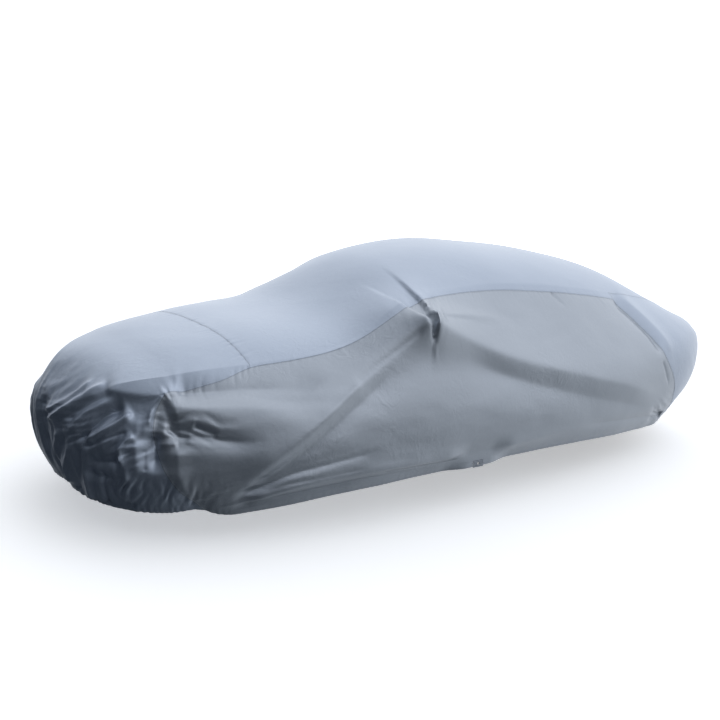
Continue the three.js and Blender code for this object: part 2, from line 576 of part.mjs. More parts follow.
const group = new THREE.Group();
group.name = 'car_cover';
const pieces = [
  mesh('top_front', solidFromQuads(topFrontQuads(), () => false), cloth(0xa9b3c2)),
  mesh('top_main', solidFromQuads(topMainQuads(), () => false), cloth(0xa9b3c2)),
  mesh('tail', solidFromQuads(rearFace(), () => false), cloth(0xa9b3c2)),
  mesh('side_left', sideGeometry(1), cloth(0x9aa2ad)),
  mesh('side_right', sideGeometry(-1), cloth(0x9aa2ad)),
  mesh('hem_tab_left', tabGeometry(1), cloth(0x8d949e)),
  mesh('hem_tab_right', tabGeometry(-1), cloth(0x8d949e)),
  mesh('eyelet_left', eyeletGeometry(1), metal()),
  mesh('eyelet_right', eyeletGeometry(-1), metal()),
];
pieces.forEach((piece) => {
  piece.geometry.translate(-SEAT.x, -SEAT.y, -seatHeight);
  group.add(piece);
});

export default group;
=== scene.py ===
"""A fitted car cover of thin silver-coated cloth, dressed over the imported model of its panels.

The cover's own measures are in millimetres in the car's frame: x runs from front to rear, y to the
right and z up from the ground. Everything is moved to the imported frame, in metres, as it is built.
"""
from __future__ import annotations

import logging
import math
from collections.abc import Callable
from dataclasses import dataclass
from enum import Enum

import bmesh
import bpy
import numpy as np
from mathutils import Matrix, Vector

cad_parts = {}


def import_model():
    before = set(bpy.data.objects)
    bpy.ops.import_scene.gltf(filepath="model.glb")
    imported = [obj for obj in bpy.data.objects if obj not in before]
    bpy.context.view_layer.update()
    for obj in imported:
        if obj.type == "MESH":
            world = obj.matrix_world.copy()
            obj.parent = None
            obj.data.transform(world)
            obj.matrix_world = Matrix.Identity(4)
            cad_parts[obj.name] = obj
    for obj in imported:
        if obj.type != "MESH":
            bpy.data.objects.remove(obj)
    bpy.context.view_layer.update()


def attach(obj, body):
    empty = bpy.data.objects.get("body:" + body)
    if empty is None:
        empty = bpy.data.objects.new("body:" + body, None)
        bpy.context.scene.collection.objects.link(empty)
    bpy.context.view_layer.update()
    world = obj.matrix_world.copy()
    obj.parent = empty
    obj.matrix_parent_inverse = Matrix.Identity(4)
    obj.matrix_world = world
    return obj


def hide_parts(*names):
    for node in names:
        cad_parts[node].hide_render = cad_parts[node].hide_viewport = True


LOG = logging.getLogger("car_cover")
Surface = Callable[[np.ndarray, np.ndarray], np.ndarray]
MM = 0.001


class View(Enum):
    """Direction from which a fold's route is drawn: horizontal axis, then facing direction."""

    LEFT = ((1.0, 0.0), (0.0, -1.0, 0.0))
    RIGHT = ((1.0, 0.0), (0.0, 1.0, 0.0))
    FRONT = ((0.0, 1.0), (-1.0, 0.0, 0.0))
    REAR = ((0.0, 1.0), (1.0, 0.0, 0.0))
    CORNER = ((0.788, -0.616), (-0.616, -0.788, 0.0))
    TOP = ((1.0, 0.0), (0.0, 0.0, 1.0))


class Shape(Enum):
    """Cross-section of a fold: a soft roll or a tight crease."""

    SOFT = "soft"
    CREASE = "crease"


@dataclass(frozen=True)
class TopSection:
    """One section over the top: height at the middle, half width, edge height and fullness."""

    x: float
    mid: float
    half: float
    edge: float
    full: float


@dataclass(frozen=True)
class Ring:
    """One level outline of the skirt: reach, half width, squareness and three heights."""

    front: float
    rear: float
    half: float
    square: float
    z_front: float = 0.0
    z_mid: float = 0.0
    z_rear: float = 0.0


@dataclass(frozen=True)
class Mirror:
    """Where a door mirror pushes the cloth out: a sharp tip and a broad skirt round it."""

    view: View
    x: float
    z: float
    tip: float
    tip_x: float
    tip_z: float
    broad: float
    broad_x: float
    broad_z: float


@dataclass(frozen=True)
class Fold:
    """A fold along a route: height at start and end, widths above and below, and faded ends."""

    view: View
    lift: tuple[float, float]
    up: float
    down: float
    ease: tuple[float, float]
    route: tuple[tuple[float, float], ...]
    shape: Shape = Shape.SOFT


@dataclass(frozen=True)
class Crumple:
    """A patch of small creases: middle, reach, direction of the creases, pitch and height."""

    view: View
    middle: tuple[float, float]
    reach: tuple[float, float]
    turn: float
    pitch: tuple[float, float]
    height: float
    seed: int


TOP_SECTIONS = (
    TopSection(-2400, 560, 700, 500, 2.4),
    TopSection(-2200, 780, 715, 680, 2.4),
    TopSection(-1900, 920, 730, 780, 2.6),
    TopSection(-1450, 1020, 720, 860, 2.8),
    TopSection(-950, 1085, 725, 950, 2.6),
    TopSection(-350, 1350, 615, 1170, 2.4),
    TopSection(100, 1415, 600, 1240, 2.6),
    TopSection(600, 1390, 615, 1215, 2.6),
    TopSection(1100, 1330, 615, 1135, 2.6),
    TopSection(1650, 1195, 630, 1000, 2.6),
    TopSection(2050, 1010, 650, 925, 2.6),
    TopSection(2400, 865, 645, 860, 2.4),
)
EDGE = Ring(2340, 2405, 0, 2.6)
BELT = Ring(2360, 2565, 955, 3.0, 530, 735, 800)
SILL = Ring(2330, 2560, 1012, 2.9, 300, 385, 460)
HEM = Ring(2265, 2375, 950, 2.9, 170, 240, 245)
KNOTS = np.array([-13.0, 0.0, 19.0, 39.0, 51.0])
FRONT_SEAM = ((0.13, 826), (0.2, 775), (0.3, 745), (0.5, 750), (0.75, 820), (1, 930))
REAR_SEAM = ((0.06, 4420), (0.16, 4454), (0.27, 4488), (0.44, 4525), (0.63, 4650), (1, 4890))
SIDE_SEAM = ((826, 0.13), (950, 0.115), (1110, 0.085), (1235, 0.03), (1400, 0.02), (2450, 0.02),
             (2767, 0.03), (3193, 0.04), (3738, 0.045), (4420, 0.06))
HEM_DIP = ((0, 2), (180, 16), (400, 16), (620, 24), (760, 22), (920, 10), (1000, 38), (1065, 48),
           (1180, 44), (1430, 30), (1650, 15), (1975, 6), (2320, 0), (3900, 0), (4250, 16), (4620, 34),
           (4830, 44), (4980, 4), (5100, 0), (5950, 0))
DIP_FROM = 0.6
BOW_FRONT, BOW_REAR = 430.0, 900.0
SKIRT_LONG = 1150.0
SEAM_PUCKER = ((800, 1235, 1700, 4420), (3.0, 2.4, 1.5, 2.0))
FAR = 900.0
EDGE_INSET = 120.0
FLANK = 700.0
OUTWARD = (0.25, 1.0, 1.0)
CORE_HEIGHT = 420.0
ROUTE_STEPS = 8
PEAK = 826.0
TAIL = 4420.0
BONNET_SEAM = 1235.0
SEAT_X = 300.0
TAB_X, TAB_Y, TAB_WIDTH, TAB_HEIGHT, TAB_LOW = -150.0, 985.0, 82.0, 42.0, 240.0
TAB_FLAT_X, TAB_EASE_X, TAB_FLAT_Z, TAB_EASE_Z = 80.0, 270.0, 75.0, 210.0
CLOTH_THICK = 1.2

MIRRORS = (
    Mirror(View.LEFT, -490, 1012, 98, 125, 85, 44, 420, 210),
    Mirror(View.RIGHT, -500, 915, 62, 120, 88, 20, 360, 180),
)

FOLDS = (
    Fold(View.LEFT, (46, 16), 190, 72, (0.02, 0.2),
         ((-500, 1000), (-650, 945), (-870, 850), (-1110, 735), (-1350, 590), (-1560, 445), (-1700, 320))),
    Fold(View.LEFT, (-14, -20), 40, 60, (0.2, 0.2),
         ((-720, 860), (-930, 755), (-1150, 640), (-1360, 500), (-1550, 375), (-1690, 265))),
    Fold(View.LEFT, (24, 9), 75, 45, (0.05, 0.3),
         ((-500, 1020), (-700, 965), (-930, 893), (-1180, 826), (-1350, 776))),
    Fold(View.LEFT, (58, 18), 230, 90, (0.02, 0.25),
         ((-480, 1005), (-250, 955), (150, 835), (700, 705), (1250, 570), (1640, 440))),
    Fold(View.LEFT, (-22, -8), 60, 120, (0.15, 0.3),
         ((-300, 880), (150, 735), (700, 585), (1250, 445), (1560, 360))),
    Fold(View.LEFT, (14, 6), 40, 28, (0.05, 0.4),
         ((-470, 1035), (-300, 1062), (-16, 1066), (160, 1052))),
    Fold(View.LEFT, (12, 8), 26, 26, (0.1, 0.4),
         ((-470, 1040), (-435, 1110), (-380, 1190))),
    Fold(View.LEFT, (-22, -14), 45, 38, (0.1, 0.4),
         ((-1960, 783), (-1824, 796), (-1629, 806), (-1480, 803), (-1235, 794))),
    Fold(View.LEFT, (40, 14), 62, 85, (0.1, 0.4),
         ((-2010, 715), (-1870, 712), (-1680, 715), (-1450, 700), (-1250, 690))),
    Fold(View.LEFT, (-30, -12), 45, 60, (0.15, 0.35),
         ((-2035, 640), (-1927, 618), (-1821, 590), (-1690, 570), (-1540, 575))),
    Fold(View.LEFT, (-20, -10), 34, 26, (0.1, 0.4),
         ((-1720, 245), (-1480, 362), (-1272, 408), (-1036, 442), (-880, 470))),
    Fold(View.LEFT, (20, 16), 60, 40, (0.1, 0.3),
         ((-1700, 215), (-1450, 300), (-1180, 340), (-800, 352), (-300, 350), (300, 362), (900, 395))),
    Fold(View.LEFT, (-16, -6), 20, 24, (0.1, 0.3),
         ((-1712, 205), (-1512, 241), (-1179, 268), (-960, 290), (-651, 286), (-420, 282))),
    Fold(View.LEFT, (-10, -14), 40, 34, (0.3, 0.1),
         ((700, 385), (1000, 355), (1300, 325), (1770, 274))),
    Fold(View.LEFT, (-24, -20), 44, 40, (0.15, 0.2),
         ((1330, 1090), (1446, 988), (1553, 862), (1612, 735))),
    Fold(View.LEFT, (18, 14), 80, 60, (0.2, 0.3),
         ((1420, 1100), (1560, 985), (1680, 840), (1760, 690))),
    Fold(View.CORNER, (26, 14), 34, 34, (0.05, 0.4),
         ((-1200, 778), (-1262, 712), (-1287, 637), (-1290, 560))),
    Fold(View.CORNER, (-52, -40), 58, 58, (0.25, 0.3),
         ((-1240, 620), (-1238, 520), (-1228, 390))),
    Fold(View.CORNER, (-34, -30), 46, 46, (0.25, 0.25),
         ((-1600, 395), (-1495, 425), (-1395, 435))),
    Fold(View.CORNER, (22, 20), 40, 34, (0.2, 0.2),
         ((-1330, 600), (-1395, 515), (-1378, 420), (-1340, 290))),
    Fold(View.CORNER, (26, 20), 60, 60, (0.2, 0.2),
         ((-1330, 700), (-1325, 540), (-1310, 380))),
    Fold(View.CORNER, (18, 14), 42, 42, (0.2, 0.2),
         ((-1525, 785), (-1650, 695), (-1790, 590), (-1900, 490))),
    Fold(View.CORNER, (-24, -22), 42, 42, (0.2, 0.2),
         ((-1400, 715), (-1495, 665), (-1590, 575), (-1640, 460))),
    Fold(View.CORNER, (24, 18), 56, 34, (0.2, 0.2),
         ((-1350, 690), (-1455, 612), (-1620, 500))),
    Fold(View.CORNER, (22, 12), 60, 60, (0.2, 0.2),
         ((-1120, 560), (-1110, 420), (-1060, 260))),
    Fold(View.RIGHT, (26, 12), 120, 75, (0.05, 0.2),
         ((-510, 900), (-700, 840), (-960, 740), (-1280, 590), (-1600, 390))),
    Fold(View.RIGHT, (30, 20), 150, 85, (0.05, 0.2),
         ((-490, 900), (-200, 860), (250, 760), (850, 630), (1500, 460))),
    Fold(View.RIGHT, (-50, -30), 190, 130, (0.3, 0.3),
         ((-1150, 960), (-900, 1020), (-620, 1110), (-350, 1210))),
    Fold(View.RIGHT, (-22, -18), 60, 110, (0.15, 0.25),
         ((-250, 860), (260, 700), (850, 545), (1450, 390))),
    Fold(View.RIGHT, (18, 15), 55, 40, (0.15, 0.3),
         ((-1650, 220), (-1200, 320), (-500, 345), (300, 352), (1000, 392))),
    Fold(View.RIGHT, (-20, -12), 45, 40, (0.1, 0.4),
         ((-1940, 780), (-1700, 802), (-1430, 798))),
    Fold(View.FRONT, (-22, -16), 60, 60, (0.2, 0.2), ((140, 640), (90, 500), (110, 300))),
    Fold(View.FRONT, (18, 14), 70, 70, (0.2, 0.2), ((420, 650), (480, 480), (430, 260))),
    Fold(View.FRONT, (-24, -18), 60, 60, (0.2, 0.2), ((600, 640), (610, 460), (560, 250))),
    Fold(View.REAR, (24, 14), 90, 90, (0.2, 0.2), ((-480, 800), (-520, 600), (-430, 330))),
    Fold(View.REAR, (-20, -14), 80, 80, (0.2, 0.2), ((-120, 780), (-60, 560), (-140, 300))),
    Fold(View.REAR, (20, 14), 90, 90, (0.2, 0.2), ((360, 790), (420, 560), (330, 320))),
)

# Smaller creases that only the fine cloth carries.
FINE_FOLDS = (
    Fold(View.CORNER, (22, 20), 80, 26, (0.2, 0.15),
         ((-1560, 768), (-1391, 766), (-1219, 768), (-1120, 792))),
    Fold(View.CORNER, (-14, -14), 60, 110, (0.2, 0.2), ((-1500, 690), (-1330, 655), (-1190, 640))),
    Fold(View.CORNER, (-14, -12), 110, 90, (0.2, 0.3), ((-1150, 600), (-1130, 500), (-1110, 380))),
    Fold(View.CORNER, (-26, -22), 50, 40, (0.2, 0.2), ((-1620, 335), (-1520, 330), (-1430, 345))),
    Fold(View.CORNER, (12, 9), 16, 30, (0.15, 0.2), ((-1610, 775), (-1760, 660), (-1960, 520)), Shape.CREASE),
    Fold(View.CORNER, (-13, -9), 20, 22, (0.1, 0.2), ((-1625, 750), (-1725, 665), (-1820, 600), (-1965, 480)),
         Shape.CREASE),
    Fold(View.CORNER, (14, 10), 22, 34, (0.15, 0.2), ((-1525, 790), (-1600, 735), (-1700, 660), (-1915, 490)),
         Shape.CREASE),
    Fold(View.CORNER, (-14, -10), 30, 30, (0.15, 0.2), ((-1480, 765), (-1625, 670), (-1745, 560))),
    Fold(View.CORNER, (14, 12), 22, 30, (0.15, 0.2), ((-1440, 750), (-1590, 665), (-1665, 590), (-1715, 520)),
         Shape.CREASE),
    Fold(View.CORNER, (-10, -12), 26, 26, (0.15, 0.2),
         ((-1400, 715), (-1495, 670), (-1590, 580), (-1630, 500)),
         Shape.CREASE),
    Fold(View.CORNER, (12, 10), 26, 14, (0.1, 0.2), ((-1360, 690), (-1455, 615), (-1620, 500)), Shape.CREASE),
    Fold(View.CORNER, (-10, -12), 14, 18, (0.1, 0.2),
         ((-1625, 470), (-1450, 570), (-1370, 600)), Shape.CREASE),
    Fold(View.CORNER, (-14, -14), 30, 30, (0.2, 0.1), ((-1915, 440), (-1840, 330), (-1780, 200))),
    Fold(View.CORNER, (15, 13), 26, 26, (0.2, 0.15),
         ((-1775, 520), (-1820, 380), (-1780, 270)), Shape.CREASE),
    Fold(View.CORNER, (-15, -13), 24, 24, (0.2, 0.1), ((-1740, 520), (-1800, 340), (-1760, 220))),
    Fold(View.CORNER, (14, 13), 24, 24, (0.2, 0.1), ((-1695, 490), (-1750, 315), (-1735, 200)), Shape.CREASE),
    Fold(View.CORNER, (-18, -16), 24, 24, (0.2, 0.05), ((-1640, 490), (-1655, 345), (-1675, 175))),
    Fold(View.CORNER, (13, 15), 18, 18, (0.2, 0.05),
         ((-1613, 360), (-1600, 260), (-1595, 170)), Shape.CREASE),
    Fold(View.CORNER, (-14, -15), 20, 20, (0.2, 0.05),
         ((-1520, 375), (-1505, 265), (-1490, 165)), Shape.CREASE),
    Fold(View.CORNER, (-16, -13), 32, 30, (0.2, 0.1), ((-1470, 320), (-1430, 215), (-1330, 185))),
    Fold(View.CORNER, (14, 12), 18, 18, (0.1, 0.2), ((-1333, 590), (-1400, 520), (-1380, 430)), Shape.CREASE),
    Fold(View.CORNER, (-9, -9), 20, 26, (0.15, 0.1),
         ((-1286, 530), (-1284, 470), (-1279, 410)), Shape.CREASE),
    Fold(View.CORNER, (9, 8), 12, 12, (0.2, 0.2), ((-1269, 713), (-1267, 636)), Shape.CREASE),
    Fold(View.CORNER, (13, 9), 18, 18, (0.05, 0.2), ((-1223, 761), (-1253, 712), (-1279, 621)), Shape.CREASE),
    Fold(View.CORNER, (-15, -12), 22, 22, (0.1, 0.3),
         ((-1186, 640), (-1120, 595), (-1057, 585)), Shape.CREASE),
    Fold(View.CORNER, (-13, -10), 18, 18, (0.1, 0.3), ((-1060, 650), (-971, 620), (-928, 600)), Shape.CREASE),
    Fold(View.CORNER, (15, 12), 26, 26, (0.2, 0.3), ((-1235, 560), (-1158, 560), (-1119, 568))),
    Fold(View.LEFT, (-11, -5), 16, 16, (0.1, 0.3), ((-455, 1062), (-425, 1115), (-395, 1170)), Shape.CREASE),
    Fold(View.LEFT, (-11, -5), 16, 16, (0.1, 0.3), ((-425, 1065), (-385, 1120), (-330, 1180)), Shape.CREASE),
    Fold(View.LEFT, (-9, -3), 18, 14, (0.1, 0.5), ((-400, 1045), (-200, 1050), (0, 1046)), Shape.CREASE),
    Fold(View.LEFT, (-10, -4), 20, 16, (0.1, 0.5), ((-540, 985), (-720, 915), (-980, 815), (-1240, 700)),
         Shape.CREASE),
    Fold(View.LEFT, (9, 4), 26, 20, (0.1, 0.4), ((-980, 800), (-1180, 690), (-1400, 560)), Shape.CREASE),
    Fold(View.LEFT, (-9, -7), 16, 20, (0.2, 0.2), ((-1640, 265), (-1420, 330), (-1200, 350), (-950, 372)),
         Shape.CREASE),
    Fold(View.LEFT, (8, 6), 18, 18, (0.2, 0.3), ((-1650, 300), (-1400, 400), (-1120, 450), (-900, 490)),
         Shape.CREASE),
    Fold(View.LEFT, (-8, -5), 16, 22, (0.1, 0.3), ((-900, 318), (-500, 312), (-100, 314)), Shape.CREASE),
    Fold(View.LEFT, (-7, -9), 18, 18, (0.3, 0.05), ((1500, 400), (1640, 335), (1760, 285)), Shape.CREASE),
    Fold(View.LEFT, (-7, -9), 18, 18, (0.3, 0.05), ((1540, 330), (1660, 305), (1760, 278)), Shape.CREASE),
    Fold(View.LEFT, (-6, -9), 18, 18, (0.3, 0.05), ((1560, 270), (1670, 270), (1760, 268)), Shape.CREASE),
    Fold(View.LEFT, (-10, -6), 22, 16, (0.1, 0.4), ((1600, 700), (1640, 610), (1700, 500)), Shape.CREASE),
    Fold(View.LEFT, (-9, -5), 16, 18, (0.1, 0.4), ((688, 1178), (730, 1130), (775, 1085)), Shape.CREASE),
)

CRUMPLES = (
    Crumple(View.CORNER, (-1060, 625), (170, 60), -0.35, (110, 26), 9, 11),
    Crumple(View.CORNER, (-1355, 310), (80, 85), 0.9, (90, 22), 11, 12),
    Crumple(View.CORNER, (-1455, 520), (150, 90), 0.9, (110, 30), 12, 13),
    Crumple(View.CORNER, (-1720, 620), (260, 160), 0.65, (190, 34), 7, 24),
    Crumple(View.CORNER, (-1700, 330), (240, 190), 1.45, (200, 36), 8, 25),
    Crumple(View.CORNER, (-1130, 290), (200, 90), 1.3, (90, 26), 5, 26),
    Crumple(View.LEFT, (-1650, 300), (200, 90), 0.35, (170, 26), 5, 14),
    Crumple(View.LEFT, (1700, 330), (160, 90), -0.3, (130, 24), 5, 15),
    Crumple(View.LEFT, (-420, 1080), (150, 90), 1.2, (110, 24), 4, 16),
    Crumple(View.LEFT, (-700, 470), (900, 140), 0.12, (360, 60), 1.6, 17),
    Crumple(View.LEFT, (500, 1000), (900, 140), 0.05, (420, 80), 1.4, 18),
    Crumple(View.LEFT, (-1420, 760), (420, 70), 0.05, (260, 34), 2.5, 23),
    Crumple(View.FRONT, (350, 430), (380, 220), 1.2, (220, 44), 9, 19),
    Crumple(View.RIGHT, (-1500, 450), (400, 260), 0.5, (220, 44), 6, 20),
    Crumple(View.RIGHT, (1600, 400), (300, 200), -0.4, (190, 44), 5, 21),
    Crumple(View.REAR, (0, 560), (700, 230), 1.4, (220, 60), 6, 22),
)


def smooth(low: float, high: float, value: np.ndarray) -> np.ndarray:
    """Ease from 0 at low to 1 at high."""
    t = np.clip((value - low) / (high - low), 0.0, 1.0)
    return t * t * (3.0 - 2.0 * t)


def superpower(c: np.ndarray, n: float) -> np.ndarray:
    """Signed power that squares off an outline."""
    return np.sign(c) * np.abs(c) ** (2.0 / n)


def unit(v: np.ndarray) -> np.ndarray:
    """Vectors scaled to length one."""
    return v / np.maximum(np.linalg.norm(v, axis=-1, keepdims=True), 1e-12)


def hermite_slopes(keys: np.ndarray, rows: np.ndarray) -> np.ndarray:
    """Slopes of a smooth curve through rows at rising keys.

    Args:
        keys: Rising parameter of each row.
        rows: Values, first axis along the keys.

    Returns:
        The slope of each value at each key.
    """
    gap = np.diff(keys).reshape(-1, *([1] * (rows.ndim - 1)))
    step = np.diff(rows, axis=0) / gap
    slopes = np.empty_like(rows)
    slopes[1:-1] = (gap[1:] * step[:-1] + gap[:-1] * step[1:]) / (gap[:-1] + gap[1:])
    slopes[0], slopes[-1] = step[0], step[-1]
    return slopes


def cubic(t: np.ndarray, gap: np.ndarray, low: tuple[np.ndarray, np.ndarray],
          high: tuple[np.ndarray, np.ndarray]) -> np.ndarray:
    """Curve between two keys.

    Args:
        t: Share of the way from the low key to the high one.
        gap: Distance between the keys.
        low: Value and slope at the low key.
        high: Value and slope at the high key.

    Returns:
        The values at t.
    """
    return ((2 * t**3 - 3 * t**2 + 1) * low[0] + (t**3 - 2 * t**2 + t) * gap * low[1]
            + (3 * t**2 - 2 * t**3) * high[0] + (t**3 - t**2) * gap * high[1])


def hermite(keys: np.ndarray, rows: np.ndarray, at: np.ndarray) -> np.ndarray:
    """Values of the smooth curve through rows, at any parameters.

    Args:
        keys: Rising parameter of each row.
        rows: Values of shape (keys, k).
        at: Parameters of any shape.

    Returns:
        Values with the shape of at, and k last.
    """
    slopes = hermite_slopes(keys, rows)
    i = np.clip(np.searchsorted(keys, at, side="right") - 1, 0, len(keys) - 2)
    gap = (keys[i + 1] - keys[i])[..., None]
    t = (at[..., None] - keys[i][..., None]) / gap
    return cubic(t, gap, (rows[i], slopes[i]), (rows[i + 1], slopes[i + 1]))


def seam_table(rows: tuple[tuple[float, float], ...], at: np.ndarray) -> np.ndarray:
    """Read a seam table smoothly at the given keys."""
    data = np.array(rows, dtype=float)
    return hermite(data[:, 0], data[:, 1:], np.asarray(at, dtype=float))[..., 0]


def front_edge(t: np.ndarray) -> np.ndarray:
    """Where the front seam runs at each height."""
    return seam_table(FRONT_SEAM, np.maximum(t, FRONT_SEAM[0][0]))


def rear_edge(t: np.ndarray) -> np.ndarray:
    """Where the rear seam runs at each height."""
    return seam_table(REAR_SEAM, np.maximum(t, REAR_SEAM[0][0]))


class Noise:
    """Smooth seeded noise on a plane, from about -1 to 1."""

    cells = 64

    def __init__(self, seed: int) -> None:
        """Fill the lattice from the seed."""
        self.lattice = np.random.default_rng(seed).uniform(-1.0, 1.0, (self.cells, self.cells))

    def at(self, u: np.ndarray, v: np.ndarray) -> np.ndarray:
        """Noise at points given in lattice cells."""
        iu, iv = np.floor(u).astype(int), np.floor(v).astype(int)
        fu, fv = u - iu, v - iv
        fu, fv = fu**3 * (fu * (6 * fu - 15) + 10), fv**3 * (fv * (6 * fv - 15) + 10)
        low, high = (self.corner(iu, row) * (1 - fu) + self.corner(iu + 1, row) * fu for row in (iv, iv + 1))
        return low * (1 - fv) + high * fv

    def corner(self, i: np.ndarray, j: np.ndarray) -> np.ndarray:
        """Lattice values, repeated in both directions."""
        return self.lattice[i % self.cells, j % self.cells]


class PlainForm:
    """The cover's plain surface, before any fold."""

    def __init__(self) -> None:
        """Prepare the sections and the walk round the belt."""
        self.keys = np.array([s.x for s in TOP_SECTIONS], dtype=float)
        self.rows = np.array([(s.mid, s.half, s.edge, s.full) for s in TOP_SECTIONS], dtype=float)
        self.angles = np.linspace(0.0, math.pi, 2001)
        line = self.ring(BELT, self.angles)[:, :2]
        steps = np.hypot(*np.diff(line, axis=0).T)
        self.walk = np.concatenate([[0.0], np.cumsum(steps)])
        self.half = float(self.walk[-1])

    def section(self, x: np.ndarray) -> np.ndarray:
        """Middle height, half width, edge height and fullness at x."""
        return hermite(self.keys, self.rows, np.clip(x, self.keys[0], self.keys[-1]))

    def top_height(self, x: np.ndarray, y: np.ndarray) -> np.ndarray:
        """Height of the top at a place in plan."""
        s = self.section(x)
        return s[..., 0] - (s[..., 0] - s[..., 2]) * np.abs(y / s[..., 1]) ** s[..., 3]

    def ring(self, ring: Ring, angle: np.ndarray) -> np.ndarray:
        """Points on a level outline, angle 0 at the front middle and pi at the rear middle."""
        c, s = np.cos(angle), np.maximum(np.sin(angle), 0.0)
        x = -np.where(c > 0, ring.front, ring.rear) * superpower(c, ring.square)
        if ring is EDGE:
            y = -self.section(x)[..., 1] * superpower(s, ring.square)
            return np.stack([x, y, self.top_height(x, y)], -1)
        f = x / np.where(x < 0, ring.front, ring.rear)
        end = np.where(f < 0, ring.z_front, ring.z_rear)
        z = ring.z_mid + (end - ring.z_mid) * f * f
        return np.stack([x, -ring.half * superpower(s, ring.square), z], -1)

    def skirt(self, a: np.ndarray, t: np.ndarray) -> np.ndarray:
        """Points of the skirt, a round the belt (left positive) and t from edge to hem."""
        angle = np.interp(np.abs(a), self.walk, self.angles)
        edge, belt, sill, hem = (self.ring(r, angle) for r in (EDGE, BELT, SILL, HEM))
        out = belt - edge
        out[..., 2] = 0.0
        inner = edge - unit(out) * EDGE_INSET
        inner[..., 2] = self.top_height(inner[..., 0], inner[..., 1])
        rows = np.stack([inner, edge, belt, sill, hem])
        slopes = hermite_slopes(KNOTS, rows)
        at = t * KNOTS[-1]
        i = np.clip(np.searchsorted(KNOTS, at, side="right") - 1, 0, 3)
        gap, pick = (KNOTS[i + 1] - KNOTS[i])[..., None], i[None, ..., None]
        f = (at[..., None] - KNOTS[i][..., None]) / gap
        low, high = (tuple(np.take_along_axis(values, k, 0)[0] for values in (rows, slopes))
                     for k in (pick, pick + 1))
        p = cubic(f, gap, low, high)
        p[..., 1] *= np.where(a < 0, -1.0, 1.0)
        p[..., 2] -= seam_table(HEM_DIP, np.abs(a)) * smooth(DIP_FROM, 1.0, t)
        return p

    def wrap(self, a: np.ndarray) -> np.ndarray:
        """Turn a distance past the rear middle into one round the right side."""
        return np.where(a <= self.half, a, a - 2 * self.half)

    def top(self, x: np.ndarray, y: np.ndarray) -> np.ndarray:
        """Points of the top at places in plan."""
        return np.stack([x, y, self.top_height(x, y)], -1)


def row_in_plan(form: PlainForm, a: np.ndarray, f: np.ndarray) -> np.ndarray:
    """Places in plan of rows over the top, from one side edge to the other.

    Args:
        form: The plain surface.
        a: Where each row leaves the side edge.
        f: Share of the way across.

    Returns:
        Places of shape (rows, across, 2).
    """
    bow_front = (np.clip(1 - (a - PEAK) / BOW_FRONT, 0, 1) ** 2)[:, None, None]
    bow_rear = (np.clip(1 - (TAIL - a) / BOW_REAR, 0, 1) ** 2)[:, None, None]
    side = form.skirt(a, np.zeros_like(a))[:, None, :2]
    back = form.wrap(TAIL + 2 * (form.half - TAIL) * f)
    front = form.skirt(PEAK * (1 - 2 * f), np.zeros_like(f))[None, :, :2]
    rear = form.skirt(back, np.zeros_like(f))[None, :, :2]
    slide = np.stack([np.ones_like(f), 1 - 2 * f], -1)[None]
    return side * slide + bow_front * (front - front[:, :1] * slide) + bow_rear * (rear - rear[:, :1] * slide)


def bonnet_seam(form: PlainForm) -> tuple[np.ndarray, np.ndarray]:
    """Distance from the middle and place along the car of points on the bonnet's seam."""
    line = row_in_plan(form, np.array([BONNET_SEAM]), np.linspace(0.5, 1.0, 60))[0]
    return np.abs(line[:, 1]), line[:, 0]


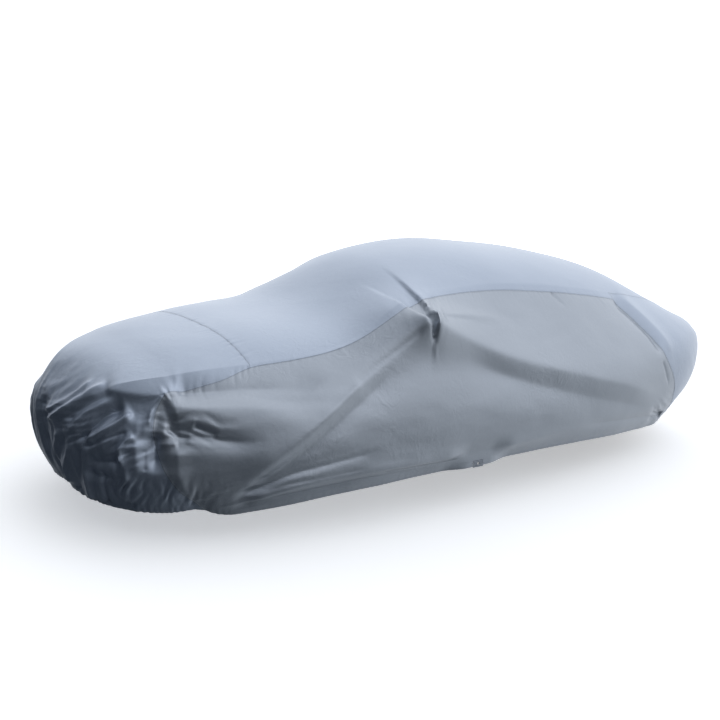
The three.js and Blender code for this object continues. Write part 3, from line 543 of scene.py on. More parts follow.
class FoldField:
    """How far the cloth stands off its plain surface, from the folds, mirrors and crumples."""

    def __init__(self, folds: tuple[Fold, ...]) -> None:
        """Sample each fold's route."""
        self.routes = []
        for fold in folds:
            keys = np.arange(len(fold.route), dtype=float)
            at = np.linspace(0, keys[-1], int(keys[-1]) * ROUTE_STEPS + 1)
            points = hermite(keys, np.array(fold.route, float), at)
            chord = points[-1] - points[0]
            side = np.array([-chord[1], chord[0]])
            steep = abs(side[1]) > 0.3 * np.hypot(*side)
            side = side * np.sign(side[1] if steep else side[0])
            self.routes.append((fold, points, side))

    @staticmethod
    def facing(view: View, normal: np.ndarray) -> np.ndarray:
        """How far a point faces a view, 0 to 1."""
        return smooth(0.1, 0.5, normal @ np.array(view.value[1]))

    @staticmethod
    def plane(view: View, p: np.ndarray) -> tuple[np.ndarray, np.ndarray]:
        """A point's two coordinates in a view."""
        across = view.value[0]
        u = p[:, 0] * across[0] + p[:, 1] * across[1]
        return u, (p[:, 1] if view is View.TOP else p[:, 2])

    def fold_lift(self, p: np.ndarray, n: np.ndarray) -> np.ndarray:
        """Summed height of the folds at points with normals."""
        total = np.zeros(len(p))
        for fold, points, side in self.routes:
            u, w = self.plane(fold.view, p)
            reach = 3 * max(fold.up, fold.down)
            low, high = points.min(0) - reach, points.max(0) + reach
            near = (u > low[0]) & (u < high[0]) & (w > low[1]) & (w < high[1])
            near &= n @ np.array(fold.view.value[1]) > 0.1
            index = np.nonzero(near)[0]
            if not len(index):
                continue
            total[index] += self.one_fold(fold, points, side, u[index], w[index]) \
                * self.facing(fold.view, n[index])
        return total

    @staticmethod
    def one_fold(fold: Fold, points: np.ndarray, side: np.ndarray, u: np.ndarray,
                 w: np.ndarray) -> np.ndarray:
        """Height of one fold at points of its view.

        Args:
            fold: The fold's sizes.
            points: Its sampled route.
            side: The direction that counts as above the route.
            u: Horizontal coordinates.
            w: Vertical coordinates.

        Returns:
            The height at each point, in millimetres.
        """
        start, run = points[:-1], np.diff(points, axis=0)
        best = np.full(len(u), np.inf)
        along, above = np.zeros(len(u)), np.zeros(len(u))
        for k in range(len(run)):
            bx, bz = run[k]
            t = np.clip(((u - start[k, 0]) * bx + (w - start[k, 1]) * bz) / (bx * bx + bz * bz), 0, 1)
            dx, dz = u - start[k, 0] - bx * t, w - start[k, 1] - bz * t
            d = np.hypot(dx, dz)
            closer = d < best
            turn = 1.0 if -bz * side[0] + bx * side[1] > 0 else -1.0
            best = np.where(closer, d, best)
            along = np.where(closer, (k + t) / len(run), along)
            above = np.where(closer, (-bz * dx + bx * dz) * turn, above)
        width = np.where(above > 0, fold.up, fold.down)
        fade = smooth(0, fold.ease[0], along) * smooth(0, fold.ease[1], 1 - along)
        height = fold.lift[0] + (fold.lift[1] - fold.lift[0]) * along
        if fold.shape is Shape.CREASE:
            d = np.hypot(best / width, 0.25) - 0.25
            return height * fade * np.exp(-1.9 * d)
        soft = np.exp(-((best / width) ** 2))
        crest = np.exp(-2.2 * (np.hypot(best / width, 0.12) - 0.12))
        return height * fade * (0.6 * soft + 0.4 * crest)

    def mirror_lift(self, p: np.ndarray, n: np.ndarray) -> np.ndarray:
        """Height of the mirror tents."""
        total = np.zeros(len(p))
        for m in MIRRORS:
            tip = np.sqrt(((p[:, 0] - m.x) / m.tip_x) ** 2 + ((p[:, 2] - m.z) / m.tip_z) ** 2 + 0.22**2)
            broad = ((p[:, 0] - m.x) / m.broad_x) ** 2 + ((p[:, 2] - m.z) / m.broad_z) ** 2
            total += self.facing(m.view, n) * (m.tip * np.exp(0.22 - tip) + m.broad * np.exp(-broad))
        return total

    def crumple_lift(self, p: np.ndarray, n: np.ndarray) -> np.ndarray:
        """Height of the crumpled patches: flat facets that meet at sharp creases."""
        total = np.zeros(len(p))
        for c in CRUMPLES:
            u, w = self.plane(c.view, p)
            du, dw = u - c.middle[0], w - c.middle[1]
            window = np.exp(-((du / c.reach[0]) ** 2) - (dw / c.reach[1]) ** 2) * self.facing(c.view, n)
            index = np.nonzero(window > 0.01)[0]
            if len(index):
                total[index] += c.height * window[index] * self.facets(c, du[index], dw[index])
        return total

    @staticmethod
    def facets(c: Crumple, du: np.ndarray, dw: np.ndarray) -> np.ndarray:
        """Crumpled height of one patch, about -1 to 1.

        Args:
            c: The patch.
            du: Distance from its middle, across the view.
            dw: Distance from its middle, upwards.

        Returns:
            The height at each point.
        """
        random = np.random.default_rng(c.seed)
        bend = Noise(c.seed + 100)
        along = du * math.cos(c.turn) + dw * math.sin(c.turn)
        across = -du * math.sin(c.turn) + dw * math.cos(c.turn)
        warp = bend.at(along / (1.3 * c.pitch[0]), across / (2.5 * c.pitch[1]))
        patchy = 0.65 + 0.6 * bend.at(along / (1.6 * c.pitch[0]) + 9, across / (3.2 * c.pitch[1]) + 4)
        total = np.zeros(len(du))
        for k, (size, strength) in enumerate(((1.0, 1.0), (0.62, 0.6), (1.7, 0.9), (0.38, 0.32))):
            tilt = random.uniform(-0.42, 0.42)
            line = (across * math.cos(tilt) + along * math.sin(tilt)) / (c.pitch[1] * size * 2)
            phase = line + 0.45 * warp + random.uniform(0, 1)
            wave = phase - np.round(phase)
            total += strength * (1 - 4 * np.sqrt(wave * wave + 0.0009)) * (patchy if k % 2 else 1.0)
        return total / 1.8


class Gathers:
    """Puckers that run away from the seams, and the pleats of the elastic hem."""

    pitch_seam = 40.0
    pitch_hem = 36.0
    count = 512

    def __init__(self, form: PlainForm) -> None:
        """Draw each pucker's depth and length from a fixed seed."""
        random = np.random.default_rng(31)
        self.depth = random.uniform(0.15, 1.0, self.count) ** 1.4
        self.length = random.uniform(22, 85, self.count)
        self.drift = Noise(32)
        self.bonnet_y, self.bonnet_x = bonnet_seam(form)

    def troughs(self, s: np.ndarray, d: np.ndarray, pitch: float, sharp: float = 0.17) -> np.ndarray:
        """Depth of the puckers at s along and d away from a seam, 0 to 1."""
        phase = s / pitch + 0.9 * self.drift.at(s / 190, d / 150 + 3)
        i = np.floor(phase).astype(int) % self.count
        w = phase - np.floor(phase) - 0.5
        return self.depth[i] * np.exp(-((w / sharp) ** 2)) * np.exp(-(np.abs(d) / self.length[i]) ** 1.4)

    def on_skirt(self, a: np.ndarray, t: np.ndarray) -> np.ndarray:
        """Lift of the skirt's puckers, in millimetres."""
        way = np.abs(a)
        top = (t - seam_table(SIDE_SEAM, np.clip(way, PEAK, TAIL))) * SKIRT_LONG
        share = smooth(0.0, 0.02, t) * smooth(PEAK - 20, PEAK + 30, way) \
            * (1 - smooth(TAIL - 30, TAIL + 20, way))
        size = np.interp(way, SEAM_PUCKER[0], SEAM_PUCKER[1])
        lift = -share * (size * self.troughs(a, top, self.pitch_seam) + 1.3 * np.exp(-((top / 5) ** 2)))
        for edge, start, size, low in ((front_edge(t), FRONT_SEAM[0][0], 1.8, 0.35),
                                       (rear_edge(t), REAR_SEAM[0][0], 2.2, 0.6)):
            d = way - edge
            share = smooth(start - 0.03, start + 0.02, t) * (low + (1 - low) * (1 - smooth(0.3, 0.6, t)))
            lift -= share * (size * self.troughs(t * SKIRT_LONG + 700, d, self.pitch_seam)
                             + 1.0 * np.exp(-((d / 6) ** 2)))
        up = (1 - t) * SKIRT_LONG
        elastic = 1.2 + 4.6 * (1 - smooth(850, 1150, way)) + 5.4 * smooth(4500, 4800, way)
        lift -= elastic * self.troughs(a * 1.03 + 90, up * 0.8, self.pitch_hem, 0.24) * smooth(0.6, 0.85, t)
        return lift

    def on_top(self, x: np.ndarray, y: np.ndarray) -> np.ndarray:
        """Lift of the puckers across the bonnet's seam, in millimetres."""
        d = x - np.interp(np.abs(y), self.bonnet_y, self.bonnet_x)
        share = 1 - smooth(630, 700, np.abs(y))
        return -share * (3.4 * self.troughs(y + 4000, d, self.pitch_seam) + 1.8 * np.exp(-((d / 7) ** 2)))


class Cloth:
    """The folded outer face of the cover, in millimetres in the car's frame."""

    def __init__(self, form: PlainForm, fine: bool = True) -> None:
        """Prepare the fold field.

        Args:
            form: The plain surface.
            fine: Whether the small creases and crumples are added.
        """
        self.form = form
        self.fine = fine
        self.field = FoldField(FOLDS + FINE_FOLDS if fine else FOLDS)
        self.drift = (Noise(5), Noise(6))
        self.gathers = Gathers(form)

    def lifted(self, p: np.ndarray, n: np.ndarray, more: np.ndarray) -> np.ndarray:
        """Move plain points with normals to the folded surface, and by the puckers' own lift."""
        lift = self.field.fold_lift(p, n) + self.field.mirror_lift(p, n)
        if self.fine:
            lift += self.field.crumple_lift(p, n)
            lift += self.slack(p, n) + more
        q = p + n * lift[:, None]
        near = (1 - smooth(TAB_FLAT_X, TAB_EASE_X, np.abs(q[:, 0] - TAB_X))) \
            * (1 - smooth(TAB_LOW + TAB_FLAT_Z, TAB_LOW + TAB_EASE_Z, q[:, 2])) * (np.abs(q[:, 1]) > FLANK)
        q[:, 1] += (np.sign(q[:, 1]) * TAB_Y - q[:, 1]) * near
        return q

    def slack(self, p: np.ndarray, n: np.ndarray) -> np.ndarray:
        """Low, broad unevenness of cloth that isn't tight anywhere."""
        side = 1 - smooth(0.5, 0.95, n[:, 2])
        u, w = p[:, 0] + 0.8 * p[:, 1], p[:, 2] + 0.3 * p[:, 1]
        broad = self.drift[0].at(u / 330 + 9, w / 240 + 5)
        small = self.drift[1].at(u / 120 + 3, w / 80 + 2)
        return side * (4.0 * broad + 1.1 * small) + (1 - side) * (1.6 * broad + 0.4 * small)

    def from_plain(self, plain: Surface, gathers: Surface, a: np.ndarray, b: np.ndarray,
                   step: tuple[float, float]) -> np.ndarray:
        """Folded points from a plain surface function.

        Args:
            plain: Function of two parameters that gives plain points.
            gathers: Function of the same parameters that gives the puckers' lift.
            a: First parameter.
            b: Second parameter.
            step: How far each parameter moves to find the normal.

        Returns:
            Folded points with the parameters' shape.
        """
        p = plain(a, b)
        across = plain(a + step[0], b) - plain(a - step[0], b)
        down = plain(a, b + step[1]) - plain(a, b - step[1])
        n = unit(np.cross(across, down))
        away = p * OUTWARD - [0.0, 0.0, CORE_HEIGHT]
        n = np.where((n * away).sum(-1, keepdims=True) < 0, -n, n)
        more = np.broadcast_to(gathers(a, b), p.shape[:-1]).ravel()
        return self.lifted(p.reshape(-1, 3), n.reshape(-1, 3), more).reshape(p.shape)

    def skirt(self, a: np.ndarray, t: np.ndarray) -> np.ndarray:
        """Folded points of the skirt."""
        a, t = np.broadcast_arrays(np.asarray(a, float), np.asarray(t, float))
        return self.from_plain(self.form.skirt, self.gathers.on_skirt, a, t, (2.0, 0.004))

    def top(self, x: np.ndarray, y: np.ndarray) -> np.ndarray:
        """Folded points of the top."""
        return self.from_plain(self.form.top, self.gathers.on_top, x, y, (2.0, 2.0))


@dataclass
class Patch:
    """A grid of cloth points with its place in the cut cloth and its margins, in millimetres."""

    points: np.ndarray
    uv: np.ndarray
    margins: np.ndarray
    skip: np.ndarray | None = None


def margins(points: np.ndarray, seams: list[np.ndarray], hem: np.ndarray | None = None) -> np.ndarray:
    """How far each grid point is from the nearest seam and from the hem.

    Args:
        points: The grid.
        seams: Seam points that broadcast against the grid.
        hem: Hem points that broadcast against the grid, if the panel has a hem.

    Returns:
        Two distances for each point, in millimetres.
    """
    far = np.full(points.shape[:2], FAR)
    seam = np.min([far] + [np.linalg.norm(points - line, axis=-1) for line in seams], axis=0)
    return np.stack([seam, far if hem is None else np.linalg.norm(points - hem, axis=-1)], -1)


class PanelCutter:
    """Cuts the cover's surface into its five panels."""

    def __init__(self, cloth: Cloth) -> None:
        """Keep the folded cloth."""
        self.cloth = cloth
        self.form = cloth.form

    def face(self, t: np.ndarray, across: int, rear: bool) -> Patch:
        """The front or rear end face as rows of constant height."""
        f = np.linspace(0, 1, across + 1)
        if rear:
            edge = rear_edge(t)[:, None]
            a = edge + (2 * self.form.half - 2 * edge) * f[None]
            points = self.cloth.skirt(self.form.wrap(a), np.repeat(t[:, None], across + 1, 1))
            u = a - self.form.half
        else:
            edge = front_edge(t)[:, None]
            a = edge * (1 - 2 * f[None])
            points = self.cloth.skirt(a, np.repeat(t[:, None], across + 1, 1))
            u = a
        v = np.repeat((t * SKIRT_LONG)[:, None], across + 1, 1) * (1 if rear else -1)
        row = np.maximum(np.arange(len(t)), 0 if rear else int(np.argmin(np.abs(t - FRONT_SEAM[0][0]))))
        lines = [points[row][:, :1], points[row][:, -1:]] + ([points[:1]] if rear else [])
        return Patch(points, np.stack([u, v], -1), margins(points, lines, points[-1:]))

    def over_top(self, a: np.ndarray, across: int, first: bool, last: bool) -> Patch:
        """Rows over the top between the two side edges."""
        f = np.linspace(0, 1, across + 1)
        plan = row_in_plan(self.form, a, f)
        points = self.cloth.top(plan[..., 0], plan[..., 1])
        points[:, 0] = self.cloth.skirt(a, np.zeros_like(a))
        points[:, -1] = self.cloth.skirt(-a, np.zeros_like(a))
        if first:
            points[0] = self.cloth.skirt(PEAK * (1 - 2 * f), np.zeros(across + 1))
        if last:
            back = self.form.wrap(TAIL + 2 * (self.form.half - TAIL) * f)
            points[-1] = self.cloth.skirt(back, np.zeros(across + 1))
        seam = seam_table(SIDE_SEAM, a)
        lines = [self.cloth.skirt(sign * a, seam)[:, None] for sign in (1, -1)]
        if first:
            lines.append(points[-1:])
        else:
            lines += [points[:1], points[-1:]]
        return Patch(points, plan[..., ::-1].copy(), margins(points, lines))

    def edge_strip(self, a: np.ndarray, sign: int, rows: int) -> Patch:
        """The strip of skirt between the top's edge and the side seam."""
        f = np.linspace(0, 1, rows + 1)[None]
        t = seam_table(SIDE_SEAM, a)[:, None] * f
        across = np.repeat(a[:, None], rows + 1, 1)
        uv = np.stack([sign * (-FLANK - t * SKIRT_LONG), across - 2400], -1)
        points = self.cloth.skirt(sign * across, t)
        ends = [points[-1:]] if a[0] == PEAK else [points[:1], points[-1:]]
        return Patch(points, uv, margins(points, [points[:, -1:], *ends]))

    def side(self, stations: np.ndarray, down: np.ndarray, sign: int) -> Patch:
        """A side panel as columns from its top seam to the hem."""
        share = ((stations - PEAK) / (TAIL - PEAK))[:, None]
        f = down[None]
        seam = seam_table(SIDE_SEAM, stations)[:, None]
        t = seam + (1 - seam) * f
        t[0] = FRONT_SEAM[0][0] + (1 - FRONT_SEAM[0][0]) * f[0]
        t[-1] = REAR_SEAM[0][0] + (1 - REAR_SEAM[0][0]) * f[0]
        front = front_edge(FRONT_SEAM[0][0] + (1 - FRONT_SEAM[0][0]) * f)
        rear = rear_edge(REAR_SEAM[0][0] + (1 - REAR_SEAM[0][0]) * f)
        a = front + (rear - front) * share
        points = self.cloth.skirt(sign * a, t)
        return Patch(points, np.stack([a, -t * SKIRT_LONG], -1),
                     margins(points, [points[:, :1], points[:1], points[-1:]], points[:, -1:]))


def linked(name: str, data: bpy.types.ID) -> bpy.types.Object:
    """A new object that shows this data, in the scene."""
    item = bpy.data.objects.new(name, data)
    bpy.context.scene.collection.objects.link(item)
    return item


class SheetMaker:
    """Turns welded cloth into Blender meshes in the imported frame."""

    def __init__(self, form: PlainForm) -> None:
        """Work out how the car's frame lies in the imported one."""
        seat = float(form.top_height(np.array([SEAT_X]), np.array([0.0]))[0]) - 2.0
        self.origin = np.array([SEAT_X, 0.0, seat])

    def place(self, points: np.ndarray) -> np.ndarray:
        """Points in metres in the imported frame."""
        return (np.asarray(points, dtype=float) - self.origin) * MM

    def mesh(self, name: str, points: np.ndarray, faces: np.ndarray,
             maps: dict[str, np.ndarray] | None = None) -> bpy.types.Object:
        """Build a mesh object from millimetre points and equal-sided faces.

        Args:
            name: The object's name.
            points: Points in the car's frame.
            faces: Corner indices, one row for each face.
            maps: Named pairs for each face corner, in millimetres, kept as UV maps in metres.

        Returns:
            The linked object, at the origin.
        """
        sides = faces.shape[1]
        data = bpy.data.meshes.new(name)
        data.vertices.add(len(points))
        data.vertices.foreach_set("co", self.place(points).astype(np.float32).ravel())
        data.loops.add(faces.size)
        data.loops.foreach_set("vertex_index", faces.astype(np.int32).ravel())
        data.polygons.add(len(faces))
        data.polygons.foreach_set("loop_start", np.arange(0, faces.size, sides, dtype=np.int32))
        data.update(calc_edges=True)
        data.validate()
        for title, uv in (maps or {}).items():
            layer = data.uv_layers.new(name=title)
            layer.data.foreach_set("uv", (uv.reshape(-1, 2) * MM).astype(np.float32).ravel())
        data.shade_smooth()
        return linked(name, data)

    def weld(self, name: str, patches: list[Patch]) -> bpy.types.Object:
        """Join grids whose shared edges lie on each other into one sheet that faces outwards.

        Args:
            name: The piece's name.
            patches: The grids of cloth points.

        Returns:
            The sheet as an object, without thickness.
        """
        points, quads, uvs, edges, start = [], [], [], [], 0
        for patch in patches:
            rows, columns = patch.points.shape[:2]
            index = np.arange(rows * columns).reshape(rows, columns) + start
            cells = np.stack([index[:-1, :-1], index[1:, :-1], index[1:, 1:], index[:-1, 1:]], -1)
            quads.append((cells if patch.skip is None else cells[~patch.skip]).reshape(-1, 4))
            points.append(patch.points.reshape(-1, 3))
            uvs.append(patch.uv.reshape(-1, 2))
            edges.append(patch.margins.reshape(-1, 2))
            start += rows * columns
        faces = np.concatenate(quads)
        maps = {"cut_cloth": np.concatenate(uvs)[faces], "margins": np.concatenate(edges)[faces]}
        item = self.mesh(name, np.concatenate(points), faces, maps)
        grid = bmesh.new()
        grid.from_mesh(item.data)
        bmesh.ops.remove_doubles(grid, verts=grid.verts, dist=0.05 * MM)
        bmesh.ops.delete(grid, geom=[v for v in grid.verts if not v.link_faces], context="VERTS")
        bmesh.ops.recalc_face_normals(grid, faces=grid.faces)
        middle = Vector((0.0, 0.0, -0.95))
        outward = sum(f.normal.dot(f.calc_center_median() - middle) * f.calc_area() for f in grid.faces)
        if outward < 0:
            bmesh.ops.reverse_faces(grid, faces=grid.faces)
        grid.to_mesh(item.data)
        grid.free()
        item.data.shade_smooth()
        return item


def settle(item: bpy.types.Object) -> bpy.types.Object:
    """Replace an object's mesh with what its modifiers make of it."""
    graph = bpy.context.evaluated_depsgraph_get()
    made = bpy.data.meshes.new_from_object(item.evaluated_get(graph))
    item.modifiers.clear()
    old, item.data = item.data, made
    bpy.data.meshes.remove(old)
    return item


def thicken(item: bpy.types.Object) -> bpy.types.Object:
    """Give a sheet the cloth's thickness, inwards."""
    layer = item.modifiers.new("thickness", "SOLIDIFY")
    layer.thickness, layer.offset = CLOTH_THICK * MM, -1.0
    layer.use_even_offset = False
    settle(item)
    item.data.set_sharp_from_angle(angle=math.radians(70))
    return item


def eased(count: int, squeeze: float = 0.45) -> np.ndarray:
    """Steps from 0 to 1 that are closer together at both ends."""
    f = np.linspace(0, 1, count + 1)
    return f - squeeze * np.sin(2 * math.pi * f) / (2 * math.pi)


@dataclass(frozen=True)
class Cells:
    """How many cells each panel is cut into."""

    across: int
    face: int
    nose: int
    roof: int
    rear: int
    side: int
    down: int


HEM_RADIUS = 2.2
HEM_CURL = 5
HEM_UP = (8.0, 16.0, 22.0)
HEM_UV_STEP = 3.0


def turned_hem(patch: Patch, rising: bool = True) -> Patch:
    """Add the hem's turn-up inside the last column or row of a grid.

    Args:
        patch: A grid whose rows run down to the hem if rising, else its columns do.
        rising: Whether the hem is the last row.

    Returns:
        The grid with the turned-up rows added.
    """
    points = patch.points if rising else patch.points.swapaxes(0, 1)
    uv = patch.uv if rising else patch.uv.swapaxes(0, 1)
    edges = patch.margins if rising else patch.margins.swapaxes(0, 1)
    hem, above = points[-1], points[-2]
    down = unit(hem - above)
    along = np.gradient(hem, axis=0)
    out = unit(np.cross(along, down))
    away = hem * [OUTWARD[0], OUTWARD[1], 0.0]
    out = np.where((out * away).sum(-1, keepdims=True) < 0, -out, out)
    rows = [hem - out * HEM_RADIUS * (1 - math.cos(k)) + down * HEM_RADIUS * math.sin(k)
            for k in np.linspace(0, math.pi, HEM_CURL + 1)[1:]]
    rows += [hem - out * 2 * HEM_RADIUS - down * up for up in HEM_UP]
    steps = [np.array([0.0, -HEM_UV_STEP * (k + 1)]) for k in range(len(rows))]
    more_uv = [uv[-1] + step for step in steps]
    more_edges = [edges[-1] + step for step in steps]
    points = np.concatenate([points, np.stack(rows)])
    uv = np.concatenate([uv, np.stack(more_uv)])
    edges = np.concatenate([edges, np.stack(more_edges)])
    if rising:
        return Patch(points, uv, edges)
    return Patch(points.swapaxes(0, 1), uv.swapaxes(0, 1), edges.swapaxes(0, 1))


class CoverMaker:
    """Makes the five cloth panels."""

    def __init__(self, maker: SheetMaker, cutter: PanelCutter, cells: Cells) -> None:
        """Keep the tools and the size of the cut."""
        self.maker = maker
        self.cutter = cutter
        self.cells = cells
        self.nose = PEAK + (BONNET_SEAM - PEAK) * eased(cells.nose)
        self.roof = BONNET_SEAM + (TAIL - BONNET_SEAM) * eased(cells.roof, 0.2)

    def face_rows(self, start: float, strip: int, count: int) -> np.ndarray:
        """Heights of an end face's rows: the strip's rows first, then down to the hem."""
        return np.concatenate([start * np.linspace(0, 1, strip + 1), start + (1 - start) * eased(count)[1:]])

    def top_front(self) -> bpy.types.Object:
        """The bonnet and front face."""
        cells, strip = self.cells, 12
        rows = self.face_rows(FRONT_SEAM[0][0], strip, cells.face)
        face = turned_hem(self.cutter.face(rows, cells.across, False))
        top = self.cutter.over_top(self.nose, cells.across, True, False)
        strips = [self.cutter.edge_strip(self.nose, sign, strip) for sign in (1, -1)]
        return self.maker.weld("cover_top_front", [face, top, *strips])

    def top_main(self) -> bpy.types.Object:
        """The cloth over the windscreen, roof and boot."""
        strip, across = 5, round(self.cells.across * 0.6)
        top = self.cutter.over_top(self.roof, across, False, True)
        strips = [self.cutter.edge_strip(self.roof, sign, strip) for sign in (1, -1)]
        return self.maker.weld("cover_top_main", [top, *strips])

    def tail(self) -> bpy.types.Object:
        """The cloth round the rear end."""
        rows = self.face_rows(REAR_SEAM[0][0], 5, self.cells.rear)
        return self.maker.weld("cover_tail", [turned_hem(self.cutter.face(rows, self.cells.across, True))])

    def side(self, name: str, sign: int) -> bpy.types.Object:
        """One side panel with its notch for the tab."""
        share = self.cells.side if sign > 0 else round(self.cells.side * 0.75)
        down = eased(self.cells.down if sign > 0 else round(self.cells.down * 0.8))
        stations = PEAK + (TAIL - PEAK) * eased(share, 0.3)
        patch = turned_hem(self.cutter.side(stations, down, sign), False)
        self.notch(patch)
        return self.maker.weld(name, [patch])

    @staticmethod
    def notch(patch: Patch) -> None:
        """Move the nearest grid lines to the tab's notch and leave its cells out."""
        p = patch.points
        columns, rows = p.shape[:2]
        hem = rows - 1 - HEM_CURL - len(HEM_UP)
        left, right = TAB_X - TAB_WIDTH / 2, TAB_X + TAB_WIDTH / 2
        first = int(np.argmin(np.abs(p[:, hem, 0] - left)))
        last = int(np.argmin(np.abs(p[:, hem, 0] - right)))
        top = int(np.argmin(np.abs(p[first, :hem, 2] - (TAB_LOW + TAB_HEIGHT))))
        beside, above = 12, 3
        for k in range(-beside, beside + 1):
            fade = 1 - abs(k) / (beside + 1)
            for column, edge in ((first, left), (last, right)):
                i = column + k
                shift = (edge - p[column, top:, 0]) * fade
                inside = (column == first and k > 0) or (column == last and k < 0)
                if inside and abs(k) > (last - first) // 2:
                    continue
                if k:
                    p[i, top:, 0] += shift
        for column, edge in ((first, left), (last, right)):
            p[column, top:, 0] = edge
        for k in range(-above, above + 1):
            fade = 1 - abs(k) / (above + 1)
            shift = (TAB_LOW + TAB_HEIGHT - p[first:last + 1, top, 2]) * fade
            if k:
                p[first:last + 1, top + k, 2] += shift
        p[first:last + 1, top, 2] = TAB_LOW + TAB_HEIGHT
        patch.skip = np.zeros((columns - 1, rows - 1), dtype=bool)
        patch.skip[first:last, top:] = True


class SeamRuns:
    """Where the stitch rows run on the cloth, as lines of points just off its face."""

    beside = 5.0
    proud = 0.5
    hem_up = 18.0
    spacing = 6.0
    short = 12.0
    clear = 8.0
    upright = (0.01, 0.975, 190)

    def __init__(self, cloth: Cloth) -> None:
        """Keep the folded cloth."""
        self.cloth = cloth
        self.form = cloth.form

    def off_face(self, plain: Surface, made: Surface, a: np.ndarray, b: np.ndarray) -> np.ndarray:
        """Folded points moved clear of the cloth by the thread's height.

        Args:
            plain: Plain surface of two parameters.
            made: Folded surface of the same parameters.
            a: First parameter.
            b: Second parameter.

        Returns:
            The line's points.
        """
        line = made(a, b)
        ahead = unit(np.gradient(line, axis=0))
        across = np.cross(plain(a, b) * OUTWARD - [0.0, 0.0, CORE_HEIGHT], ahead)
        out = unit(np.cross(ahead, unit(across)))
        return line + out * self.proud

    def on_skirt(self, a: np.ndarray, t: np.ndarray) -> np.ndarray:
        """A line on the skirt."""
        return self.off_face(self.form.skirt, self.cloth.skirt, a, t)

    def side_rows(self, sign: int) -> list[np.ndarray]:
        """Rows beside the top seam, the end seams and along the hem of a side panel."""
        step = self.beside / SKIRT_LONG
        a = self.apart(PEAK + self.spacing, TAIL - self.spacing)
        rows = [self.on_skirt(sign * a, seam_table(SIDE_SEAM, a) + step)]
        for edge, start, way in ((front_edge, FRONT_SEAM[0][0], 1), (rear_edge, REAR_SEAM[0][0], -1)):
            t = self.upright_heights(start)
            rows.append(self.on_skirt(sign * (edge(t) + way * self.beside), t))
        reach = self.apart(front_edge(np.ones(1))[0] + self.short, rear_edge(np.ones(1))[0] - self.short)
        return rows + self.hem_rows(sign * reach)

    def apart(self, start: float, end: float) -> np.ndarray:
        """Evenly spaced distances from start up to end."""
        return np.arange(start, end, self.spacing)

    def upright_heights(self, start: float) -> np.ndarray:
        """Heights of the points of an upright row, from just below its start to near the hem."""
        first, last, count = self.upright
        return np.linspace(start + first, last, count)

    def hem_rows(self, a: np.ndarray) -> list[np.ndarray]:
        """Runs of the hem's row, parted where the tab's notch is."""
        t = np.full_like(a, 1 - self.hem_up / SKIRT_LONG)
        line = self.on_skirt(a, t)
        inside = (np.abs(line[:, 0] - TAB_X) < TAB_WIDTH / 2 + self.clear) & (np.abs(line[:, 1]) > FLANK)
        cuts = np.nonzero(np.diff(inside.astype(int)))[0] + 1
        return [run for run, skip in zip(np.split(line, cuts), np.split(inside, cuts)) if not skip[0]]

    def face_rows(self, rear: bool) -> list[np.ndarray]:
        """Rows beside the two seams of an end face and along its hem."""
        edge, start = (rear_edge, REAR_SEAM[0][0]) if rear else (front_edge, FRONT_SEAM[0][0])
        t = self.upright_heights(start)
        away = self.beside if rear else -self.beside
        rows = [self.on_skirt(sign * (edge(t) + away), t) for sign in (1, -1)]
        last = float(edge(np.ones(1))[0])
        if rear:
            a = self.form.wrap(self.apart(last + self.short, 2 * self.form.half - last - self.short))
        else:
            a = self.apart(-last + self.short, last - self.short)
        return rows + self.hem_rows(a)

    def edge_rows(self, start: float, end: float) -> list[np.ndarray]:
        """Rows on the top cloth beside both side seams."""
        a = self.apart(start + self.spacing, end - self.spacing)
        t = seam_table(SIDE_SEAM, a) - self.beside / SKIRT_LONG
        return [self.on_skirt(sign * a, t) for sign in (1, -1)]

    def bonnet_rows(self, away: float) -> list[np.ndarray]:
        """A row across the bonnet beside its seam."""
        plan = row_in_plan(self.form, np.array([BONNET_SEAM + away]), np.linspace(0.01, 0.99, 260))[0]
        return [self.off_face(self.form.top, self.cloth.top, plan[:, 0], plan[:, 1])]

    def tail_rows(self) -> list[np.ndarray]:
        """A row on the tail just below the seam along the boot's edge."""
        a = self.form.wrap(self.apart(TAIL + self.clear, 2 * self.form.half - TAIL - self.clear))
        return [self.on_skirt(a, np.full_like(a, self.beside / SKIRT_LONG))]


